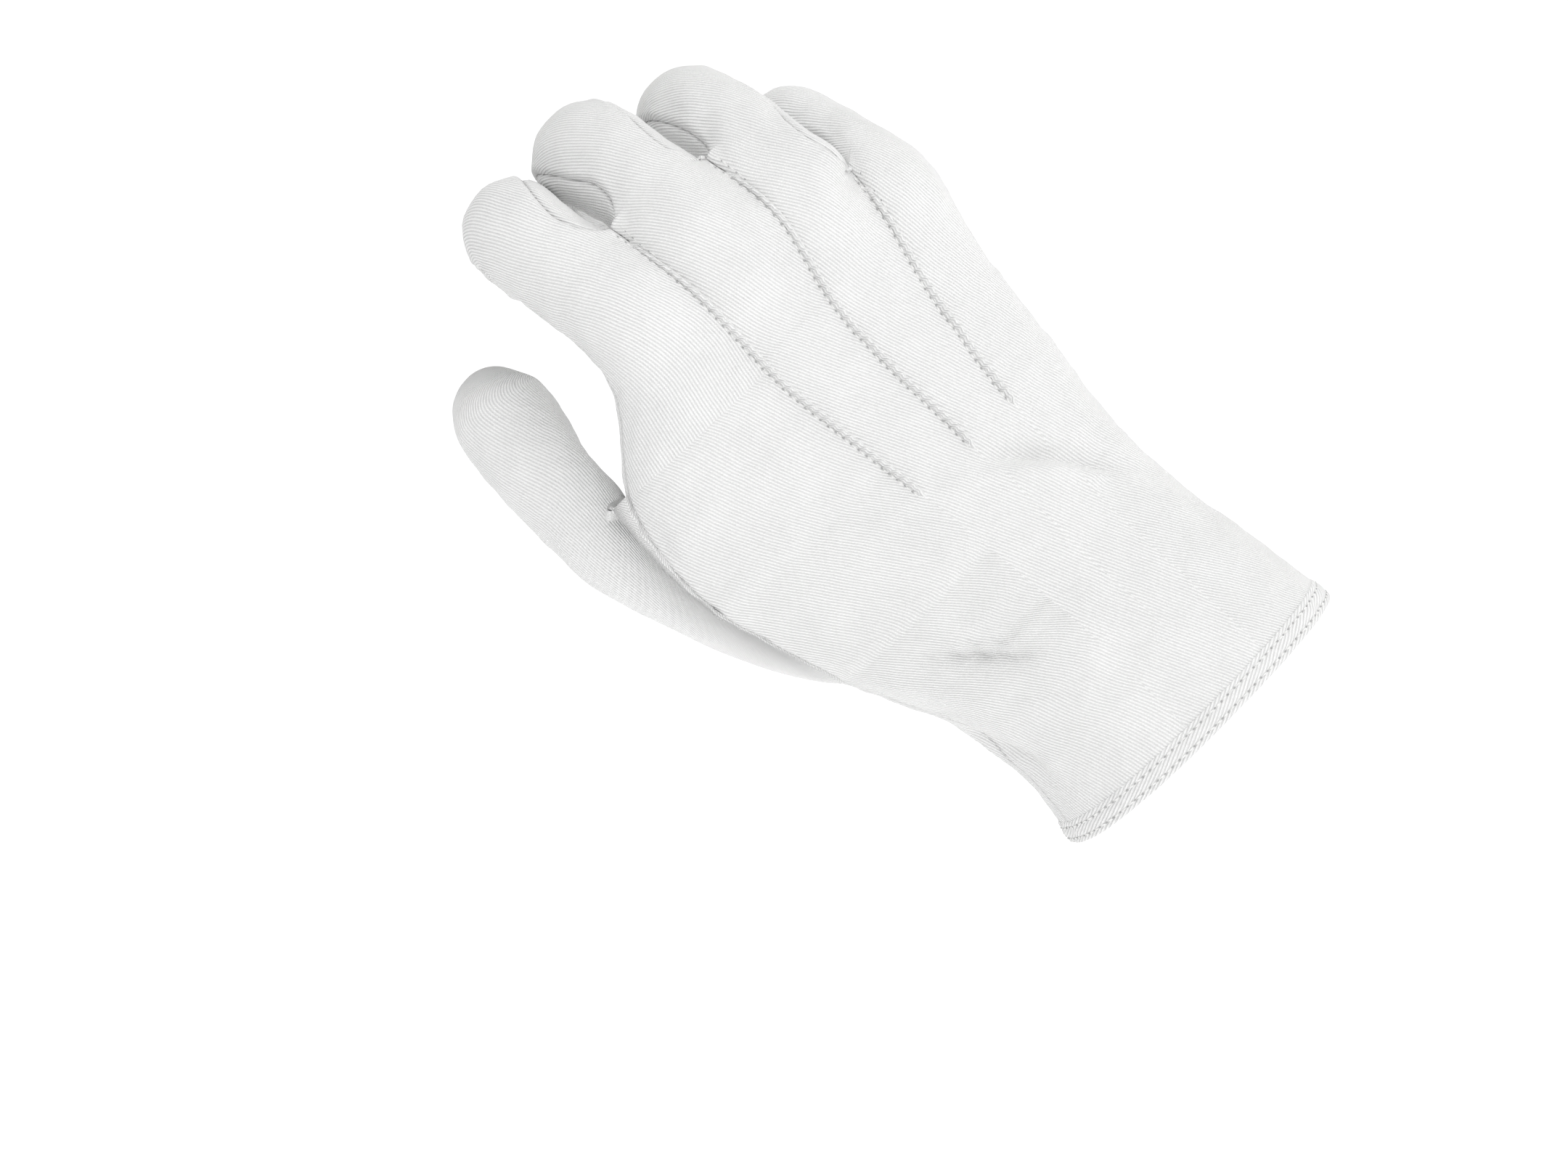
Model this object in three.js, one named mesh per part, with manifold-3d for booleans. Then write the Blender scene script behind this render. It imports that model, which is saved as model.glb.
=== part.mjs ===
// A white parade glove for the right hand, worn: curled fingers, a vent on the palm side of the wrist
// and a press stud. Millimetres. The origin is the centre of the cuff's opening, +Z runs along the forearm
// to the fingertips, +X to the little finger, and the back of the hand faces -Y.
import * as THREE from "three";
import { mergeVertices } from "three/addons/utils/BufferGeometryUtils.js";
import Module from "manifold-3d";

const wasm = await Module();
wasm.setup();

// Driving sizes
const PALM_LENGTH = 142; // cuff edge to the knuckle joints
const PALM_BREADTH = 86; // across the knuckles
const PALM_DEPTH = 30; // back to palm at the knuckles
const FINGER_LENGTH = 92; // middle finger, knuckle joint to tip
const THUMB_LENGTH = 86; // base of the thumb to its tip
const THUMB_BREADTH = 24;
const CLOTH = 1.2; // wall of every panel
const SEAM_GAP = 0.3; // between neighbouring pieces
const CROTCH_RADIUS = 6.5; // rounding between two fingers
const SIDE_STRIP_ANGLE = 28; // degrees that the strip between fingers takes above and below the side
const STRIP_CLOSES = { from: 1.5, run: 1.15 }; // and where it closes, in lengths of the rounded fingertip
const HEM_WIDTH = 5.5;
const HEM_SWELL = 0.4; // what the hem and binding stand out beyond the cloth, each side
const VENT_LENGTH = 45; // cuff edge to the top of the vent
const VENT_RADIUS = 6; // its rounded top
const BINDING_WIDTH = 4.5;
const FLAP_ROLL = 1.7; // radius of the turned flap's fold
const SNAP_DIAMETER = 11.6;
const SNAP_HEIGHT = 1.5; // flange of either half
const SEAT_RISE = 0.4; // what a flat flange stands off the curved cloth
const KNOB_DIAMETER = 3.6;
const KNOB_HEIGHT = 3.4;
const SOCKET_BORE = 4.6;
const SHANK_DIAMETER = 2.4;
const CAP_DIAMETER = 7.6;
const CAP_THICKNESS = 0.7;
const SNAP_FACETS = 16;
const POINT_WIDTH = 1.9; // raised tucks on the back
const POINT_HEIGHT = 1.0;
const POINT_RISE = 0.5; // their underside off the cloth

// Sections of the hand up to the knuckles. at: share of PALM_LENGTH. thumb, little: where the two sides lie, as
// shares of PALM_BREADTH. back, palm: depths each way, and mid: the centre's place, as shares of PALM_DEPTH.
const SECTIONS = [
  { at: 0, thumb: -0.448, little: 0.448, back: 0.8, palm: 0.767, mid: 0 },
  { at: 0.077, thumb: -0.43, little: 0.427, back: 0.767, palm: 0.733, mid: 0 },
  { at: 0.162, thumb: -0.436, little: 0.4, back: 0.717, palm: 0.667, mid: 0 },
  { at: 0.261, thumb: -0.477, little: 0.367, back: 0.643, palm: 0.617, mid: 0 },
  { at: 0.352, thumb: -0.552, little: 0.355, back: 0.583, palm: 0.583, mid: 0.033 },
  { at: 0.451, thumb: -0.634, little: 0.36, back: 0.55, palm: 0.617, mid: 0.067 },
  { at: 0.549, thumb: -0.721, little: 0.384, back: 0.533, palm: 0.633, mid: 0.1 },
  { at: 0.634, thumb: -0.773, little: 0.395, back: 0.517, palm: 0.65, mid: 0.1 },
  { at: 0.725, thumb: -0.767, little: 0.41, back: 0.5, palm: 0.617, mid: 0.1 },
  { at: 0.803, thumb: -0.715, little: 0.424, back: 0.49, palm: 0.567, mid: 0.1 },
  { at: 0.873, thumb: -0.645, little: 0.442, back: 0.487, palm: 0.517, mid: 0.067 },
  { at: 0.958, thumb: -0.581, little: 0.453, back: 0.48, palm: 0.467, mid: 0.033 },
  { at: 1.056, thumb: -0.558, little: 0.453, back: 0.467, palm: 0.46, mid: 0 },
];
const ROUNDNESS = 2.35; // exponent of a section: 2 is an ellipse, more is squarer

// Lines from the cuff to the three crotches, as shares of PALM_BREADTH: the stitched points follow them on the
// back. The palm's own lines start wide of the vent.
const BACK_LINES = [
  { at: 0, first: -0.14, second: 0, third: 0.14 },
  { at: 0.352, first: -0.157, second: -0.003, third: 0.134 },
  { at: 0.521, first: -0.188, second: -0.008, third: 0.145 },
  { at: 0.817, first: -0.258, second: -0.024, third: 0.21 },
  { at: 1.056, first: -0.262, second: 0.025, third: 0.285 },
];
const PALM_LINES = [
  { at: 0, first: 0, second: 0.15, third: 0.26 },
  { at: 0.352, first: 0, second: 0.14, third: 0.24 },
  { at: 0.521, first: -0.12, second: 0.04, third: 0.19 },
  { at: 0.817, first: -0.244, second: 0.009, third: 0.221 },
  { at: 1.056, first: -0.256, second: 0.04, third: 0.285 },
];

// Dents and folds. at, run: centre and half length, shares of PALM_LENGTH. turn: degrees round the section, 0 at the
// little finger, 90 at the back, 180 at the thumb. spread: half width in degrees. lean: degrees gained along
// PALM_LENGTH. depth: share of PALM_DEPTH, negative where the cloth stands out.
const FOLDS = [
  { name: "dent over the wrist", at: 0.31, turn: 96, lean: 130, run: 0.07, spread: 20, depth: 0.05 },
  { name: "fold beside it", at: 0.235, turn: 138, lean: 160, run: 0.09, spread: 9, depth: 0.045 },
  { name: "ridge above the fold", at: 0.29, turn: 148, lean: 160, run: 0.1, spread: 10, depth: -0.04 },
  { name: "crease at the little finger's side", at: 0.4, turn: 48, lean: -160, run: 0.06, spread: 9, depth: 0.04 },
  { name: "ridge above the crease", at: 0.45, turn: 40, lean: -160, run: 0.07, spread: 10, depth: -0.03 },
  { name: "crease across the palm", at: 0.78, turn: 255, lean: 90, run: 0.03, spread: 34, depth: 0.06 },
  { name: "crease round the thumb's ball", at: 0.6, turn: 240, lean: -60, run: 0.16, spread: 9, depth: 0.06 },
  { name: "gather at the little finger's ball", at: 0.3, turn: 318, lean: 40, run: 0.12, spread: 9, depth: 0.05 },
];

// Fingers. across, deep, up: the knuckle joint's place, shares of PALM_BREADTH, PALM_DEPTH and PALM_LENGTH.
// lean: turn of the whole finger in the hand's plane, and twist: of the plane it bends in, degrees. bends: at its
// three joints, degrees. bones: shares of FINGER_LENGTH. half, thick: half its breadth and depth, shares of
// PALM_BREADTH and PALM_DEPTH.
const FINGERS = [
  {
    name: "index", across: -0.39, deep: -0.1, up: 1, lean: -8, twist: 14,
    bends: [27, 74, 22], bones: [0.391, 0.283, 0.25], half: 0.13, thick: 0.358,
  },
  {
    name: "middle", across: -0.105, deep: -0.133, up: 1.021, lean: -7, twist: 10,
    bends: [38, 72, 22], bones: [0.424, 0.315, 0.272], half: 0.136, thick: 0.365,
  },
  {
    name: "ring", across: 0.173, deep: -0.067, up: 0.979, lean: 0, twist: 3,
    bends: [43, 68, 22], bones: [0.424, 0.293, 0.261], half: 0.117, thick: 0.333,
  },
  {
    name: "little", across: 0.376, deep: 0.133, up: 0.873, lean: 4, twist: -2,
    bends: [45, 64, 22], bones: [0.402, 0.217, 0.228], half: 0.099, thick: 0.293,
  },
];
const BEND_SPREAD = [1.2, 1.02, 0.75]; // half the length of each bend, shares of the finger's depth
const FINGER_TAPER = 0.16; // how much thinner a finger is at its tip
const TAPER_START = 0.154; // from the joint, share of PALM_LENGTH
const TIP_LENGTH = 1.15; // of the rounded end, share of the finger's half depth
// The crotches, as shares of PALM_LENGTH
const CROTCHES = [1.127, 1.102, 0.951];
const MERGE_START = 0.15; // where body turns into finger: share of PALM_LENGTH below the joint
const MERGE_RUN = 0.23;
const JOIN_REACH = 0.55; // how far over its strip a finger bends towards its neighbour, below their crotch

// The thumb's middle line. across: share of PALM_BREADTH, deep: of PALM_DEPTH, up: of THUMB_LENGTH past the base.
const THUMB_LINE = [
  { across: -0.66, deep: 0.42, up: 0 },
  { across: -0.705, deep: 0.65, up: 0.279 },
  { across: -0.705, deep: 0.9, up: 0.558 },
  { across: -0.663, deep: 1.167, up: 0.791 },
  { across: -0.628, deep: 1.267, up: 0.895 },
];
const THUMB_BASE = 0.563; // of the middle line, share of PALM_LENGTH
// Half breadth and half depth along it, as shares of THUMB_BREADTH
const THUMB_SECTIONS = [
  { along: 0, half: 0.48, thick: 0.5 },
  { along: 0.35, half: 0.5, thick: 0.5 },
  { along: 0.6, half: 0.51, thick: 0.475 },
  { along: 0.8, half: 0.5, thick: 0.458 },
  { along: 1, half: 0.45, thick: 0.417 },
];
const THUMB_MERGE = 0.42; // share of the thumb that grows out of the seam's ring
const THUMB_TIP = 0.55; // rounded end, share of THUMB_BREADTH
const THUMB_FACING = 8; // how far its crotch side looks to the palm, degrees
const THUMB_SLANT = 0.46; // how far along the thumb its crotch side starts, share of its length
const THUMB_WEB = 8; // how far the sleeve stands off the hand before it bends away, at the crotch
const THUMB_BALL = 2; // and at the wrist end
const THUMB_GAP = 0.9; // between the thumb and the cloth round its seam
// The seam round the thumb, from its wrist end to the crotch, shares of PALM_LENGTH, and how far it goes on to the
// back and the palm, degrees. skew draws the palm's widest place towards the crotch.
const THUMB_SEAM = { low: 0.423, high: 0.831, back: 20, palm: 60, fullness: 0.75, skew: 1.5 };

// The vent's edges below its rounded top. drop: share of what lies below the top's centre. thumb: how far that side
// is pulled away, fold: where the other flap folds out, and flap: what is turned beyond the fold, shares of PALM_BREADTH.
const VENT_EDGES = [
  { drop: 0, thumb: 0, fold: 0, flap: 0 },
  { drop: 0.25, thumb: 0.03, fold: 0.08, flap: 0.06 },
  { drop: 0.5, thumb: 0.07, fold: 0.17, flap: 0.2 },
  { drop: 0.75, thumb: 0.13, fold: 0.25, flap: 0.2 },
  { drop: 1, thumb: 0.23, fold: 0.3, flap: 0.12 },
];
const ROLL_START = 0.22; // share of the drop in which the fold rolls over
const SNAP_DROP = 0.56; // place of both snap halves down the vent
const SNAP_MARGIN = 1.6; // between a snap half and the binding
const POINT_START = 0.53; // the points' wrist end, share of PALM_LENGTH
const POINT_STOP = 4; // what they leave free below the crotch
const POINT_TAPER = 6; // length in which their ends flatten

const RAD = Math.PI / 180;
const clamp = (x, low, high) => Math.min(Math.max(x, low), high);
const smooth = (t) => {
  const c = clamp(t, 0, 1);
  return c * c * (3 - 2 * c);
};
const steps = (from, to, count) =>
  Array.from({ length: count + 1 }, (_, i) => from + ((to - from) * i) / count);

// A value between a table's rows, by a cubic through them.
function follow(table, key, name, x) {
  const last = table.length - 1;
  const slope = (i) => (table[i + 1][name] - table[i][name]) / (table[i + 1][key] - table[i][key]);
  const tangent = (i) => {
    if (i === 0) return slope(0);
    if (i === last) return slope(last - 1);
    const before = table[i][key] - table[i - 1][key];
    const after = table[i + 1][key] - table[i][key];
    return (slope(i - 1) * after + slope(i) * before) / (before + after);
  };
  let i = 0;
  while (i < last - 1 && x >= table[i + 1][key]) i += 1;
  const h = table[i + 1][key] - table[i][key];
  const t = clamp((x - table[i][key]) / h, 0, 1);
  return (
    (2 * t ** 3 - 3 * t ** 2 + 1) * table[i][name] +
    (t ** 3 - 2 * t ** 2 + t) * h * tangent(i) +
    (-2 * t ** 3 + 3 * t ** 2) * table[i + 1][name] +
    (t ** 3 - t ** 2) * h * tangent(i + 1)
  );
}

const BODY_TOP = SECTIONS.at(-1).at;
const share = (z) => clamp(z / PALM_LENGTH, 0, BODY_TOP);

// How far the folds push the cloth in at an angle and height.
function foldDepth(turn, z) {
  const at = z / PALM_LENGTH;
  let depth = 0;
  for (const fold of FOLDS) {
    const along = (at - fold.at) / fold.run;
    let off = turn / RAD - fold.turn - fold.lean * (at - fold.at);
    off -= 360 * Math.round(off / 360);
    depth += fold.depth * Math.exp(-(along ** 2) - (off / fold.spread) ** 2);
  }
  return depth * PALM_DEPTH;
}

// Point of the hand's section at height z, inset millimetres deep in the cloth.
function bodyPoint(turn, z, inset) {
  const at = share(z);
  const thumb = follow(SECTIONS, "at", "thumb", at) * PALM_BREADTH;
  const little = follow(SECTIONS, "at", "little", at) * PALM_BREADTH;
  const side = Math.sin(turn) > 0 ? "back" : "palm";
  const push = inset + foldDepth(turn, z);
  const half = (little - thumb) / 2 - push;
  const deep = follow(SECTIONS, "at", side, at) * PALM_DEPTH - push;
  const mid = follow(SECTIONS, "at", "mid", at) * PALM_DEPTH;
  const power = 2 / ROUNDNESS;
  const bulge = (v) => Math.sign(v) * Math.abs(v) ** power;
  return new THREE.Vector3(
    (thumb + little) / 2 + half * bulge(Math.cos(turn)),
    mid - deep * bulge(Math.sin(turn)),
    z,
  );
}

// Angle on the section at which the cloth lies at a given x.
function turnAt(x, z, side) {
  const thumb = follow(SECTIONS, "at", "thumb", share(z)) * PALM_BREADTH;
  const little = follow(SECTIONS, "at", "little", share(z)) * PALM_BREADTH;
  const u = clamp((2 * x - thumb - little) / (little - thumb), -1, 1);
  return side * Math.acos(Math.sign(u) * Math.abs(u) ** (ROUNDNESS / 2));
}

// Angle gained by going a distance round the section.
function turnFor(distance, turn, z) {
  const small = 0.01;
  const here = bodyPoint(turn, z, 0).distanceTo(bodyPoint(turn + small, z, 0));
  return (distance * small) / here;
}

// The middle line of each finger with its directions, worked out once in small steps.
function traceFinger(finger) {
  const lean = finger.lean * RAD;
  const twist = finger.twist * RAD;
  const along = new THREE.Vector3(Math.sin(lean), 0, Math.cos(lean));
  const palmward = new THREE.Vector3(Math.sin(twist), Math.cos(twist), 0);
  palmward.addScaledVector(along, -palmward.dot(along)).normalize();
  const across = new THREE.Vector3().crossVectors(palmward, along);
  const half = finger.half * PALM_BREADTH;
  const thick = finger.thick * PALM_DEPTH;
  const base = new THREE.Vector3(
    finger.across * PALM_BREADTH,
    finger.deep * PALM_DEPTH,
    finger.up * PALM_LENGTH,
  );
  const bones = finger.bones.map((bone) => bone * FINGER_LENGTH);
  const joints = [base.z, base.z + bones[0], base.z + bones[0] + bones[1]];
  const end = joints[2] + bones[2];
  const bendAt = (s) =>
    finger.bends.reduce((sum, bend, k) => {
      const spread = BEND_SPREAD[k] * thick;
      return sum + bend * RAD * smooth((s - joints[k] + spread) / (2 * spread));
    }, 0);
  const direction = (bend) =>
    along.clone().multiplyScalar(Math.cos(bend)).addScaledVector(palmward, Math.sin(bend));
  const step = 0.25;
  const start = base.z - MERGE_START * PALM_LENGTH - CROTCH_RADIUS - 2 * CLOTH;
  const line = [];
  let point = new THREE.Vector3();
  let atBase = point;
  for (let s = start; s < end + step; s += step) {
    line.push(point.clone());
    if (Math.abs(s - base.z) <= step / 2) atBase = point.clone();
    point = point.clone().addScaledVector(direction(bendAt(s + step / 2)), step);
  }
  const shift = base.clone().sub(atBase);
  line.forEach((p) => p.add(shift));
  return { ...finger, half, thick, base, end, across, along, palmward, bendAt, line, start, step };
}
const fingers = FINGERS.map(traceFinger);
const crotches = CROTCHES.map((crotch) => crotch * PALM_LENGTH);
const STRIP = SIDE_STRIP_ANGLE * RAD;

// Directions of a finger at station s: its middle, and outwards from the back of the finger.
function fingerFrame(finger, s) {
  const place = clamp((s - finger.start) / finger.step, 0, finger.line.length - 2);
  const i = Math.min(Math.floor(place), finger.line.length - 2);
  const middle = finger.line[i].clone().lerp(finger.line[i + 1], place - i);
  const bend = finger.bendAt(s);
  const out = finger.along.clone().multiplyScalar(Math.sin(bend));
  out.addScaledVector(finger.palmward, -Math.cos(bend));
  return { middle, out };
}

// Point of a finger's tube; turn 0 faces the little finger, 90 degrees the back.
function tubePoint(finger, turn, s, inset) {
  const end = finger.end - inset;
  const station = Math.min(s, end);
  const { middle, out } = fingerFrame(finger, station);
  const tipLength = TIP_LENGTH * finger.thick;
  const past = Math.max(station - (end - tipLength), 0) / tipLength;
  const tip = Math.sqrt(Math.max(1 - past ** 2, 0));
  const start = finger.base.z + TAPER_START * PALM_LENGTH;
  const taper = 1 - FINGER_TAPER * smooth((station - start) / (end - start));
  return middle
    .addScaledVector(finger.across, (finger.half * taper - inset) * tip * Math.cos(turn))
    .addScaledVector(out, (finger.thick * taper - inset) * tip * Math.sin(turn));
}

// How far the thumb's seam goes on to one side of the hand at height z.
function seamTurn(z, side) {
  const low = THUMB_SEAM.low * PALM_LENGTH;
  const high = THUMB_SEAM.high * PALM_LENGTH;
  const t = clamp((z - low) / (high - low), 0, 1);
  const reach = (side > 0 ? THUMB_SEAM.back : THUMB_SEAM.palm) * RAD;
  const skewed = side > 0 ? t : t ** THUMB_SEAM.skew;
  return reach * Math.max(Math.sin(Math.PI * skewed), 0) ** THUMB_SEAM.fullness;
}

// The vent, measured from the round top's centre down to the cuff.
const ventCentre = VENT_LENGTH - VENT_RADIUS;
const panelRadius = VENT_RADIUS + BINDING_WIDTH + SEAM_GAP;
const panelApex = ventCentre + panelRadius;
const dropAt = (z) => clamp((ventCentre - z) / ventCentre, 0, 1);
const ventSize = (name, z) => follow(VENT_EDGES, "drop", name, dropAt(z)) * PALM_BREADTH;
const ventLine = (z) => follow(PALM_LINES, "at", "first", share(z)) * PALM_BREADTH;
const roundTop = (radius, z) => Math.sqrt(Math.max(radius ** 2 - Math.max(z - ventCentre, 0) ** 2, 0));
// Angles of the thumb side's edge and of the other side's fold, for a rounding of the given radius.
function ventTurn(edge, radius, z) {
  const centre = turnAt(ventLine(z), z, -1);
  const away = roundTop(radius, z) + ventSize(edge, z);
  return centre + turnFor(edge === "thumb" ? -away : away, centre, z);
}

// Where line k crosses height z, as an angle on the section.
const LINE_NAMES = ["first", "second", "third"];
function lineTurn(k, z, side) {
  const table = side > 0 ? BACK_LINES : PALM_LINES;
  const plain = turnAt(follow(table, "at", LINE_NAMES[k], share(z)) * PALM_BREADTH, z, side);
  if (side > 0 || z >= panelApex) return plain;
  const fold = ventTurn("fold", panelRadius, z);
  const room = 1 - Math.max(k, 1) / (LINE_NAMES.length + 1);
  return Math.max(plain, fold * room);
}

// Half the angle that the strip between two fingers takes, closing towards the fingertip.
function stripTurn(finger, s) {
  const tip = TIP_LENGTH * finger.thick;
  return STRIP * (1 - smooth((s - (finger.end - STRIP_CLOSES.from * tip)) / (STRIP_CLOSES.run * tip)));
}

// A strip of the hand's cloth runs from the cuff to the tip of finger i. q goes from its thumb edge to its other edge.
// side is 1 on the back and -1 on the palm. turn, where given, is the angle on the finger.
function plainPoint(i, q, s, side, inset, turn) {
  const finger = fingers[i];
  const z = Math.min(s, BODY_TOP * PALM_LENGTH);
  const strip = stripTurn(finger, s);
  const from = i === 0 ? Math.PI : Math.PI - strip;
  const to = i === fingers.length - 1 ? 0 : strip;
  const onFinger = turn ?? side * (from + (to - from) * q);
  const low = i === 0 ? side * (Math.PI - seamTurn(z, side)) : lineTurn(i - 1, z, side);
  let high = i === fingers.length - 1 ? 0 : lineTurn(i, z, side);
  let start = low;
  if (side < 0 && z < panelApex && i === 0) high = ventTurn("thumb", panelRadius, z);
  if (side < 0 && z < panelApex && i === 1) start = ventTurn("fold", panelRadius, z);
  const onBody = start + (high - start) * q;
  const merge = smooth((s - (finger.base.z - MERGE_START * PALM_LENGTH)) / (MERGE_RUN * PALM_LENGTH));
  const point = bodyPoint(onBody, z, inset);
  if (merge === 0) return point;
  return point.lerp(tubePoint(finger, onFinger, s, inset), merge);
}

// 1 below a crotch, and a quarter circle down to 0 above it.
function closing(s, crotch, inset) {
  const t = clamp((s - crotch + inset) / (CROTCH_RADIUS + inset), 0, 1);
  return 1 - Math.sqrt(Math.max(1 - (1 - t) ** 2, 0));
}

// The same strip with the fingers joined below their crotches.
function handPoint(i, q, s, side, inset = 0, turn = undefined) {
  const near = (crotch) => smooth(1 - Math.abs(s - crotch) / CROTCH_RADIUS);
  const next = i < fingers.length - 1 ? smooth((q - 1 + JOIN_REACH) / JOIN_REACH) : 0;
  const before = i > 0 ? smooth((JOIN_REACH - q) / JOIN_REACH) : 0;
  let station = s;
  if (next) station -= inset * next * near(crotches[i]);
  if (before) station -= inset * before * near(crotches[i - 1]);
  const point = plainPoint(i, q, station, side, inset, turn);
  const aboveVent = side > 0 ? 1 : smooth((s - panelApex) / VENT_LENGTH);
  // Half the way from this strip's edge to the neighbour's.
  const join = (edge, mate, pull) => {
    if (pull === 0) return;
    const k = Math.min(i, mate);
    const mirrored = turn === undefined ? undefined : Math.PI - turn;
    const here = plainPoint(i, edge, station, side, inset, turn);
    const there = plainPoint(mate, 1 - edge, station, side, inset, mirrored);
    const weight = (k === 0 ? aboveVent : 1) * closing(station, crotches[k], inset);
    point.addScaledVector(there.sub(here), (pull * weight) / 2);
  };
  join(1, i + 1, next);
  join(0, i - 1, before);
  return point;
}

// The flap turned out past the vent's fold: reach is measured along the cloth from the fold.
function flapPoint(reach, z, inset) {
  const fold = ventTurn("fold", panelRadius, z);
  const full = Math.PI * smooth(dropAt(z) / ROLL_START);
  const bend = Math.min(reach / FLAP_ROLL, full);
  const straight = reach - bend * FLAP_ROLL;
  const radius = FLAP_ROLL + inset;
  const lift = FLAP_ROLL - radius * Math.cos(bend) + straight * Math.sin(bend);
  const slide = -radius * Math.sin(bend) - straight * Math.cos(bend);
  return bodyPoint(fold + turnFor(slide, fold, z), z, -lift);
}

// A closed solid from two like sheets of points: their faces, and walls round their open edges.
function shell(outer, inner, faces) {
  const count = outer.length;
  const index = [];
  const edges = new Set(faces.flatMap(([a, b, c]) => [`${a},${b}`, `${b},${c}`, `${c},${a}`]));
  for (const [a, b, c] of faces) {
    index.push(a, b, c, a + count, c + count, b + count);
    for (const [p, r] of [[a, b], [b, c], [c, a]]) {
      if (!edges.has(`${r},${p}`)) index.push(r, p, p + count, r, p + count, r + count);
    }
  }
  const points = [...outer, ...inner];
  let volume = 0;
  for (let t = 0; t < index.length; t += 3) {
    const [a, b, c] = [points[index[t]], points[index[t + 1]], points[index[t + 2]]];
    volume += a.dot(new THREE.Vector3().crossVectors(b, c));
  }
  if (volume < 0) index.reverse();
  const geometry = new THREE.BufferGeometry().setFromPoints(points);
  geometry.setIndex(index);
  return geometry;
}

// Collects grid patches whose shared points carry the same key.
function sheet() {
  const keys = new Map();
  const outer = [];
  const inner = [];
  const faces = [];
  const vertex = (key, place) => {
    if (!keys.has(key)) {
      keys.set(key, outer.length);
      outer.push(place(0));
      inner.push(place(1));
    }
    return keys.get(key);
  };
  const patch = (rows, columns, keyOf, placeOf) => {
    const at = rows.map((_, r) =>
      columns.map((__, c) => vertex(keyOf(r, c), (layer) => placeOf(rows[r], columns[c], layer))),
    );
    for (let r = 0; r + 1 < rows.length; r += 1) {
      for (let c = 0; c + 1 < columns.length; c += 1) {
        const [a, b, d, e] = [at[r][c], at[r][c + 1], at[r + 1][c + 1], at[r + 1][c]];
        for (const face of [[a, b, d], [a, d, e]]) {
          if (new Set(face).size === 3) faces.push(face);
        }
      }
    }
  };
  return { patch, geometry: () => shell(outer, inner, faces) };
}

// Heights at which every piece beside the vent has its rows, so that their edges run together.
const rollFoot = ventCentre * (1 - ROLL_START);
const ventRows = [
  ...steps(HEM_WIDTH + SEAM_GAP, rollFoot, 4),
  ...steps(rollFoot, ventCentre, 4).slice(1),
];
const TOP_STEPS = 4; // facets of a quarter of the round top

// Stations of the panels: rows of the vent, the thumb's seam and each crotch are met exactly.
function panelRows() {
  const rise = (crotch) =>
    steps(0, 90, 3).map((angle) => crotch + CROTCH_RADIUS * (1 - Math.cos(angle * RAD)));
  const top = steps(0, 90, TOP_STEPS).map((angle) => ventCentre + panelRadius * Math.cos(angle * RAD));
  const low = THUMB_SEAM.low * PALM_LENGTH;
  const high = THUMB_SEAM.high * PALM_LENGTH;
  const seam = steps(0, 180, 9).map((angle) => (low + high) / 2 - ((high - low) / 2) * Math.cos(angle * RAD));
  const kept = [...crotches, low, high, panelApex, ventCentre];
  const rows = [
    ...ventRows,
    ...top,
    (panelApex + low) / 2,
    ...seam,
    (high + crotches[2]) / 2,
    ...crotches.toReversed().flatMap(rise),
  ].sort((a, b) => a - b);
  const spaced = [];
  for (const row of rows) {
    const close = row - (spaced.at(-1) ?? -Infinity) < MIN_ROW;
    if (!close) spaced.push(row);
    else if (kept.includes(row) && !kept.includes(spaced.at(-1))) spaced[spaced.length - 1] = row;
    else if (kept.includes(row) && row > spaced.at(-1)) spaced.push(row);
  }
  return spaced;
}
const COLUMNS = [5, 4, 4, 4]; // of each finger's strip
const FLAP_COLUMNS = 5;
const THUMB_COLUMNS = 24;
const NO_FLAP = 0.1; // the flap is left out where it is narrower
const MIN_ROW = 0.8; // least distance between two rows

function fingerRows(finger, from) {
  const tip = TIP_LENGTH * finger.thick;
  return [
    ...steps(from, finger.end - tip, 8).slice(1),
    ...steps(0, 90, 4).slice(1).map((angle) => finger.end - tip + tip * Math.sin(angle * RAD)),
  ];
}

// The back or the palm of the glove with its four finger halves.
function panel(side) {
  const { patch, geometry } = sheet();
  const common = panelRows();
  fingers.forEach((finger, i) => {
    const rows = [...common, ...fingerRows(finger, common.at(-1))];
    const columns = steps(0, 1, COLUMNS[i]);
    const vented = (s) => side < 0 && s < panelApex;
    const keyOf = (r, c) => {
      if (r === rows.length - 1) return `tip ${i}`;
      const s = rows[r];
      const joined = i < fingers.length - 1 && s <= crotches[i] && !(i === 0 && vented(s));
      if (c === COLUMNS[i] && joined) return `${i + 1} 0 ${r}`;
      return `${i} ${c} ${r}`;
    };
    patch(rows, columns, keyOf, (s, q, layer) => {
      const point = handPoint(i, q, s, side, layer * CLOTH);
      const { out } = fingerFrame(finger, s);
      return point.addScaledVector(out, (side * SEAM_GAP) / 2);
    });
  });
  if (side < 0) {
    const rows = common.filter((s) => s <= panelApex);
    const columns = steps(1, 0, FLAP_COLUMNS);
    const onFold = (r, c) => c === FLAP_COLUMNS || ventSize("flap", rows[r]) < NO_FLAP;
    const keyOf = (r, c) => (onFold(r, c) ? `1 0 ${r}` : `flap ${c} ${r}`);
    patch(rows, columns, keyOf, (z, t, layer) =>
      flapPoint(ventSize("flap", z) * t, z, layer * CLOTH).add(new THREE.Vector3(0, SEAM_GAP / 2, 0)),
    );
  }
  return geometry();
}

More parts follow.
